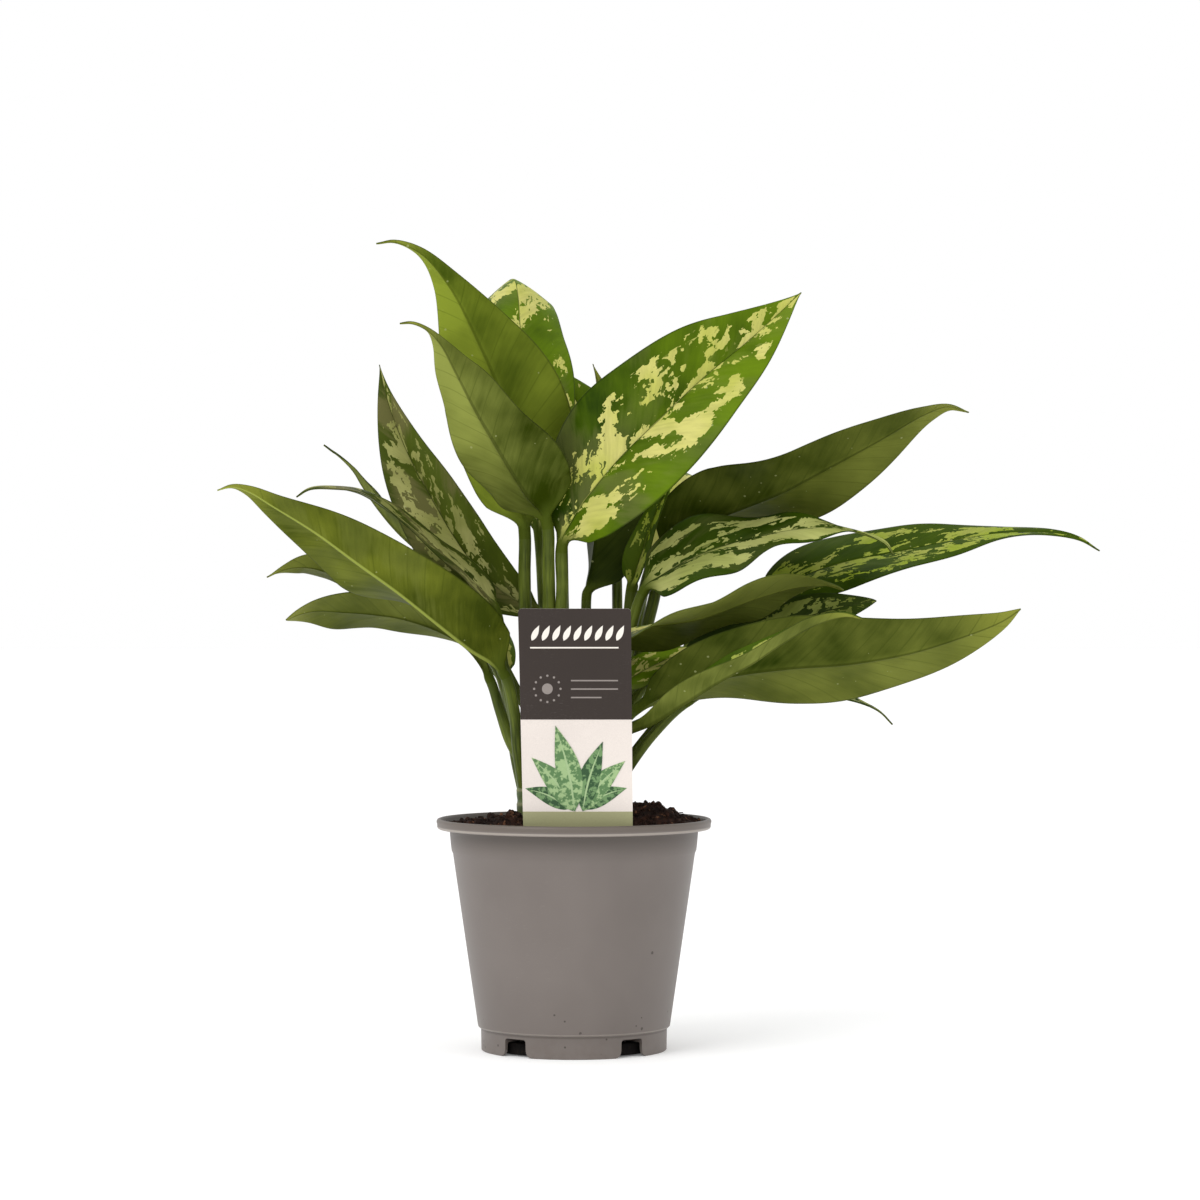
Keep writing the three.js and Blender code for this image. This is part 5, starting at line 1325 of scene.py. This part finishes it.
splash.links.new(grain(splash, splash_in["Place"], 0.045, 2, 0.5), splash_out["Clouds"])

STALK_DARK = (34, 46, 8)
STALK_LIGHT = (98, 110, 40)
STALK_MIDDLE = (67, 79, 20)
UPPER_PITCH, UNDER_PITCH = 4.6, 6.4
UPPER_EDGE = (26, 38, 8)
UNDER_EDGE = (30, 38, 10)
UNDER_HAZE = (116, 122, 64)
UNDER_TIP_LIGHT = (136, 141, 56)
DUST = (172, 176, 124)


def leaf_facts(tree, patch_size=10, cover=0.52, cell_size=1.3):
    """What the leaf's own attributes say at a point, and the splash group fed with them."""
    facts = {}
    for name in ("leaf_place", "leaf_vein", "leaf_share"):
        facts[name] = mesh_value(tree, name, "Vector")
    for name in ("leaf_rib", "leaf_tone_and_light"):
        facts[name] = mesh_value(tree, name, "Fac")
    share = add_node(tree, "ShaderNodeSeparateXYZ", {0: facts["leaf_share"]}).outputs
    facts["edge"] = reckon(tree, "ABSOLUTE", share[0])
    facts["run"] = share[1]
    group = add_node(tree, "ShaderNodeGroup", {
        "Vein": facts["leaf_vein"], "Place": facts["leaf_place"], "Edge": facts["edge"],
        "Patch size": patch_size, "Cell size": cell_size, "Cover": cover,
    }, node_tree=splash)
    for name in ("Splashes", "Haze", "Streaks", "Clouds"):
        facts[name] = group.outputs[name]
    return facts


def vein_relief(tree, facts, strength, pitch):
    """The normal of low swellings between the side veins, with the grain of the skin."""
    run = add_node(tree, "ShaderNodeSeparateXYZ", {0: facts["leaf_vein"]}).outputs[0]
    swell = reckon(tree, "SINE", reckon(tree, "MULTIPLY", run, 2 * math.pi / pitch))
    fine = grain(tree, facts["leaf_place"], 1.6, 3, 0.6)
    broad = grain(tree, facts["leaf_place"], 0.075, 2, 0.5)
    height = reckon(tree, "MULTIPLY", swell, 0.16)
    for layer, share in ((facts["Streaks"], 0.7), (fine, 0.25), (broad, 3.2)):
        height = reckon(tree, "ADD", height, reckon(tree, "MULTIPLY", layer, share))
    return bump(tree, strength, 0.0005, height)


def toned_and_lit(tree, facts, dark, light, cloud, streak):
    """The leaf's ground colour, from its tone with painted light and shade, its clouds and streaks."""
    clouds = reckon(tree, "MULTIPLY", reckon(tree, "SUBTRACT", facts["Clouds"], 0.5), cloud)
    streaks = reckon(tree, "MULTIPLY", reckon(tree, "SUBTRACT", facts["Streaks"], 0.5), streak)
    tone = reckon(tree, "ADD", reckon(tree, "ADD", facts["leaf_tone_and_light"], clouds), streaks, clamp=True)
    return mixed(tree, tone, paint(*dark), paint(*light))


def dusted(tree, facts, colour):
    """The blade's colour with a few pale specks of dust and dried water on it."""
    cells, chance = cell_pattern(tree, facts["leaf_place"], 0.17)
    size = reckon(tree, "MULTIPLY", chance[0], 0.095)
    dot = reckon(tree, "MULTIPLY", reckon(tree, "LESS_THAN", cells["Distance"], size), 0.4)
    return mixed(tree, dot, colour, paint(*DUST))


def into_stalk(tree, facts, colour):
    """The blade's colour, run into the stalk's at the blade's root."""
    root = spread(tree, facts["run"], 0.0, 0.08, 1.0, 0.0, soft=True)
    return mixed(tree, root, colour, paint(*STALK_MIDDLE))


def upper_face(name, deep, bright, patches, haze, haze_amount, patch_size, cover, cell_size=1.3,
               strength=1.0, haze_far=0.35):
    """The upper skin: a green ground under a haze, with pale patches, and a dark rib and edge."""
    material, tree, shader = new_material(f"leaf_upper_{name}")
    facts = leaf_facts(tree, patch_size, cover, cell_size)
    colour = toned_and_lit(tree, facts, deep, bright, 1.1, 0.35)
    near_root = spread(tree, facts["run"], 0.12, 0.5, haze_amount, haze_amount * haze_far, soft=True)
    haze_share = reckon(tree, "MULTIPLY", facts["Haze"], near_root)
    colour = mixed(tree, haze_share, colour, paint(*haze))
    second = spread(tree, facts["Clouds"], 0.4, 0.62)
    patch_colour = mixed(tree, second, paint(*patches[0]), paint(*patches[1]))
    line = spread(tree, facts["Streaks"], 0.42, 0.66, 0.0, 0.22)
    patch_colour = mixed(tree, line, patch_colour, paint(*haze))
    patch_share = reckon(tree, "MULTIPLY", facts["Splashes"], strength)
    colour = mixed(tree, patch_share, colour, patch_colour)
    rib = spread(tree, facts["leaf_rib"], 0.22, 0.4, 0.65, 0.0)
    colour = mixed(tree, rib, colour, paint(*deep))
    edge = spread(tree, facts["edge"], 0.972, 0.995, 0.0, 0.55)
    colour = mixed(tree, edge, colour, paint(*UPPER_EDGE))
    feed(tree, shader, {
        "Base Color": into_stalk(tree, facts, dusted(tree, facts, colour)),
        "Roughness": spread(tree, facts["Clouds"], 0.3, 0.7, 0.36, 0.46),
        "Specular IOR Level": 0.04,
        "Normal": vein_relief(tree, facts, 0.3, UPPER_PITCH),
    })
    return material


def under_face(name, dark, light, rib_colour, rib_strength, haze_amount):
    """The underside: plain olive with faint side veins, a tip made yellower by painted light, and a
    marked rib.
    """
    material, tree, shader = new_material(f"leaf_under_{name}")
    facts = leaf_facts(tree)
    colour = toned_and_lit(tree, facts, dark, light, 1.15, 0.34)
    haze = reckon(tree, "MULTIPLY", facts["Haze"], haze_amount)
    colour = mixed(tree, haze, colour, paint(*UNDER_HAZE))
    # Painted light: the tip is drawn lighter and yellower.
    tip = spread(tree, facts["run"], 0.82, 0.98, 0.0, 0.7, soft=True)
    colour = mixed(tree, tip, colour, paint(*UNDER_TIP_LIGHT))
    run = add_node(tree, "ShaderNodeSeparateXYZ", {0: facts["leaf_vein"]}).outputs[0]
    wave = reckon(tree, "PINGPONG", reckon(tree, "DIVIDE", run, UNDER_PITCH), 0.5)
    lines = spread(tree, wave, 0.44, 0.5, 0.0, 0.34, soft=True)
    lines = reckon(tree, "MULTIPLY", lines, spread(tree, facts["Clouds"], 0.35, 0.6))
    colour = mixed(tree, lines, colour, paint(*dark))
    rib = spread(tree, facts["leaf_rib"], 0.55, 1.15, rib_strength, 0.0, soft=True)
    colour = mixed(tree, rib, colour, paint(*rib_colour))
    edge = spread(tree, facts["edge"], 0.97, 0.995, 0.0, 0.5)
    colour = mixed(tree, edge, colour, paint(*UNDER_EDGE))
    feed(tree, shader, {
        "Base Color": into_stalk(tree, facts, dusted(tree, facts, colour)),
        "Roughness": spread(tree, facts["Clouds"], 0.3, 0.7, 0.44, 0.54),
        "Specular IOR Level": 0.03,
        "Normal": vein_relief(tree, facts, 0.26, UNDER_PITCH),
    })
    return material


def stalk_skin():
    """The stalk's skin: green with fine lines along it, running into the blade's colour."""
    material, tree, shader = new_material("leaf_stalk")
    place = mesh_value(tree, "leaf_place", "Vector")
    lines = grain(tree, stretched(tree, place, (1, 0.05, 1)), 1.4, 3, 0.6)
    broad = reckon(tree, "MULTIPLY", grain(tree, place, 0.05, 2, 0.5), 0.6)
    share = reckon(tree, "ADD", reckon(tree, "MULTIPLY", lines, 0.7), broad)
    colour = mixed(tree, spread(tree, share, 0.42, 0.85), paint(*STALK_DARK), paint(*STALK_LIGHT))
    climb = add_node(tree, "ShaderNodeSeparateXYZ", {0: place}).outputs[1]
    near_blade = spread(tree, climb, -14, 0, 0.0, 1.0, soft=True)
    feed(tree, shader, {
        "Base Color": mixed(tree, near_blade, colour, paint(*STALK_MIDDLE)),
        "Roughness": spread(tree, lines, 0.3, 0.7, 0.36, 0.5),
        "Specular IOR Level": 0.12,
        "Normal": bump(tree, 0.25, 0.0003, lines),
    })
    return material


UPPER_LOOKS = {
    "cream": {
        "deep": (34, 54, 2), "bright": (98, 124, 14), "patches": ((190, 186, 108), (174, 176, 84)),
        "haze": (98, 98, 58), "haze_amount": 0.5, "patch_size": 9.2, "cover": 0.505, "cell_size": 1.6,
    },
    "silver": {
        "deep": (40, 50, 12), "bright": (74, 86, 22), "patches": ((160, 160, 98), (138, 140, 78)),
        "haze": (95, 93, 53), "haze_amount": 0.9, "patch_size": 7.2, "cover": 0.515, "cell_size": 1.7,
        "strength": 0.82, "haze_far": 1.0,
    },
    "pale": {
        "deep": (28, 46, 2), "bright": (62, 82, 10), "patches": ((168, 171, 102), (150, 157, 84)),
        "haze": (90, 90, 50), "haze_amount": 0.4, "patch_size": 10.0, "cover": 0.485, "cell_size": 1.7,
        "strength": 0.95,
    },
    "lime": {
        "deep": (32, 50, 2), "bright": (68, 90, 10), "patches": ((138, 155, 42), (154, 160, 76)),
        "haze": (84, 98, 30), "haze_amount": 0.35, "patch_size": 10.0, "cover": 0.51, "cell_size": 1.6,
    },
    # The dark look is a shaded copy of the green ground: painted shade for leaves in the shade of
    # others.
    "dark": {
        "deep": (20, 32, 4), "bright": (46, 62, 14), "patches": ((122, 130, 64), (104, 114, 48)),
        "haze": (62, 70, 30), "haze_amount": 0.5, "patch_size": 9.0, "cover": 0.56,
    },
}
# Dark and light ground, the rib's colour and strength, and the amount of haze.
UNDER_LOOKS = {
    "olive": ((42, 54, 0), (133, 141, 66), (38, 46, 4), 0.5, 0.05),
    "moss": ((37, 50, 0), (110, 117, 48), (33, 42, 0), 0.5, 0.0),
    "bright": ((42, 60, 0), (127, 141, 44), (58, 70, 4), 0.5, 0.0),
    "pale_rib": ((54, 64, 8), (124, 132, 42), (150, 160, 74), 0.8, 0.16),
    "deep": ((20, 31, 2), (70, 82, 22), (22, 32, 3), 0.5, 0.0),
}
UPPER_FACES = {name: upper_face(name, **look) for name, look in UPPER_LOOKS.items()}
UNDER_FACES = {name: under_face(name, *look) for name, look in UNDER_LOOKS.items()}
stalk_material = stalk_skin()
for seed, row in enumerate(LEAVES, 1):
    leaf = PLAIN_LEAF | row
    skins = [UPPER_FACES[leaf["upper"]], UNDER_FACES[leaf["under"]], stalk_material]
    piece = leaf_piece(leaf, seed, skins)
    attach(piece, "root")
    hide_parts(leaf["name"])

# Studio.
# The plant stands on a plain white floor in an even white room, with one large soft light high
# on the left and a weaker one on the right.
FLOOR_HALF = 9000


def studio_floor():
    """White floor paint, very slightly clouded, that gives back a little light of its own."""
    material, tree, shader = new_material("studio_floor")
    place = add_node(tree, "ShaderNodeTexCoord").outputs["Object"]
    cloud = spread(tree, grain(tree, place, 1.3, 2, 0.5), 0.3, 0.7)
    feed(tree, shader, {
        "Base Color": mixed(tree, cloud, paint(244, 244, 244), paint(247, 247, 247)),
        "Emission Color": (1, 1, 1, 1),
        "Emission Strength": 0.12,
        "Roughness": 0.8,
        "Specular IOR Level": 0.2,
    })
    return material


floor = new_piece("studio_floor", [
    at(-FLOOR_HALF, -FLOOR_HALF, GROUND), at(FLOOR_HALF, -FLOOR_HALF, GROUND),
    at(FLOOR_HALF, FLOOR_HALF, GROUND), at(-FLOOR_HALF, FLOOR_HALF, GROUND),
], [(0, 1, 2, 3)], [studio_floor()], smooth=False)

world = bpy.data.worlds.new("studio_room")
world.use_nodes = True
world.node_tree.nodes["Background"].inputs["Color"].default_value = (1, 1, 1, 1)
world.node_tree.nodes["Background"].inputs["Strength"].default_value = 1.0
bpy.context.scene.world = world


def soft_light(name, place, target, size, power):
    """A square soft light that faces a target."""
    data = bpy.data.lights.new(name, "AREA")
    data.size = size
    data.energy = power
    light = bpy.data.objects.new(name, data)
    light.location = at(*place)
    light.rotation_euler = (at(*target) - light.location).to_track_quat("-Z", "Y").to_euler()
    bpy.context.scene.collection.objects.link(light)


soft_light("key_light", (-1100, -1300, 1500), (0, 0, 180), 1.3, 20)
soft_light("fill_light", (1500, -900, 900), (0, 0, 180), 1.4, 3)
bpy.context.scene.view_settings.view_transform = "Standard"
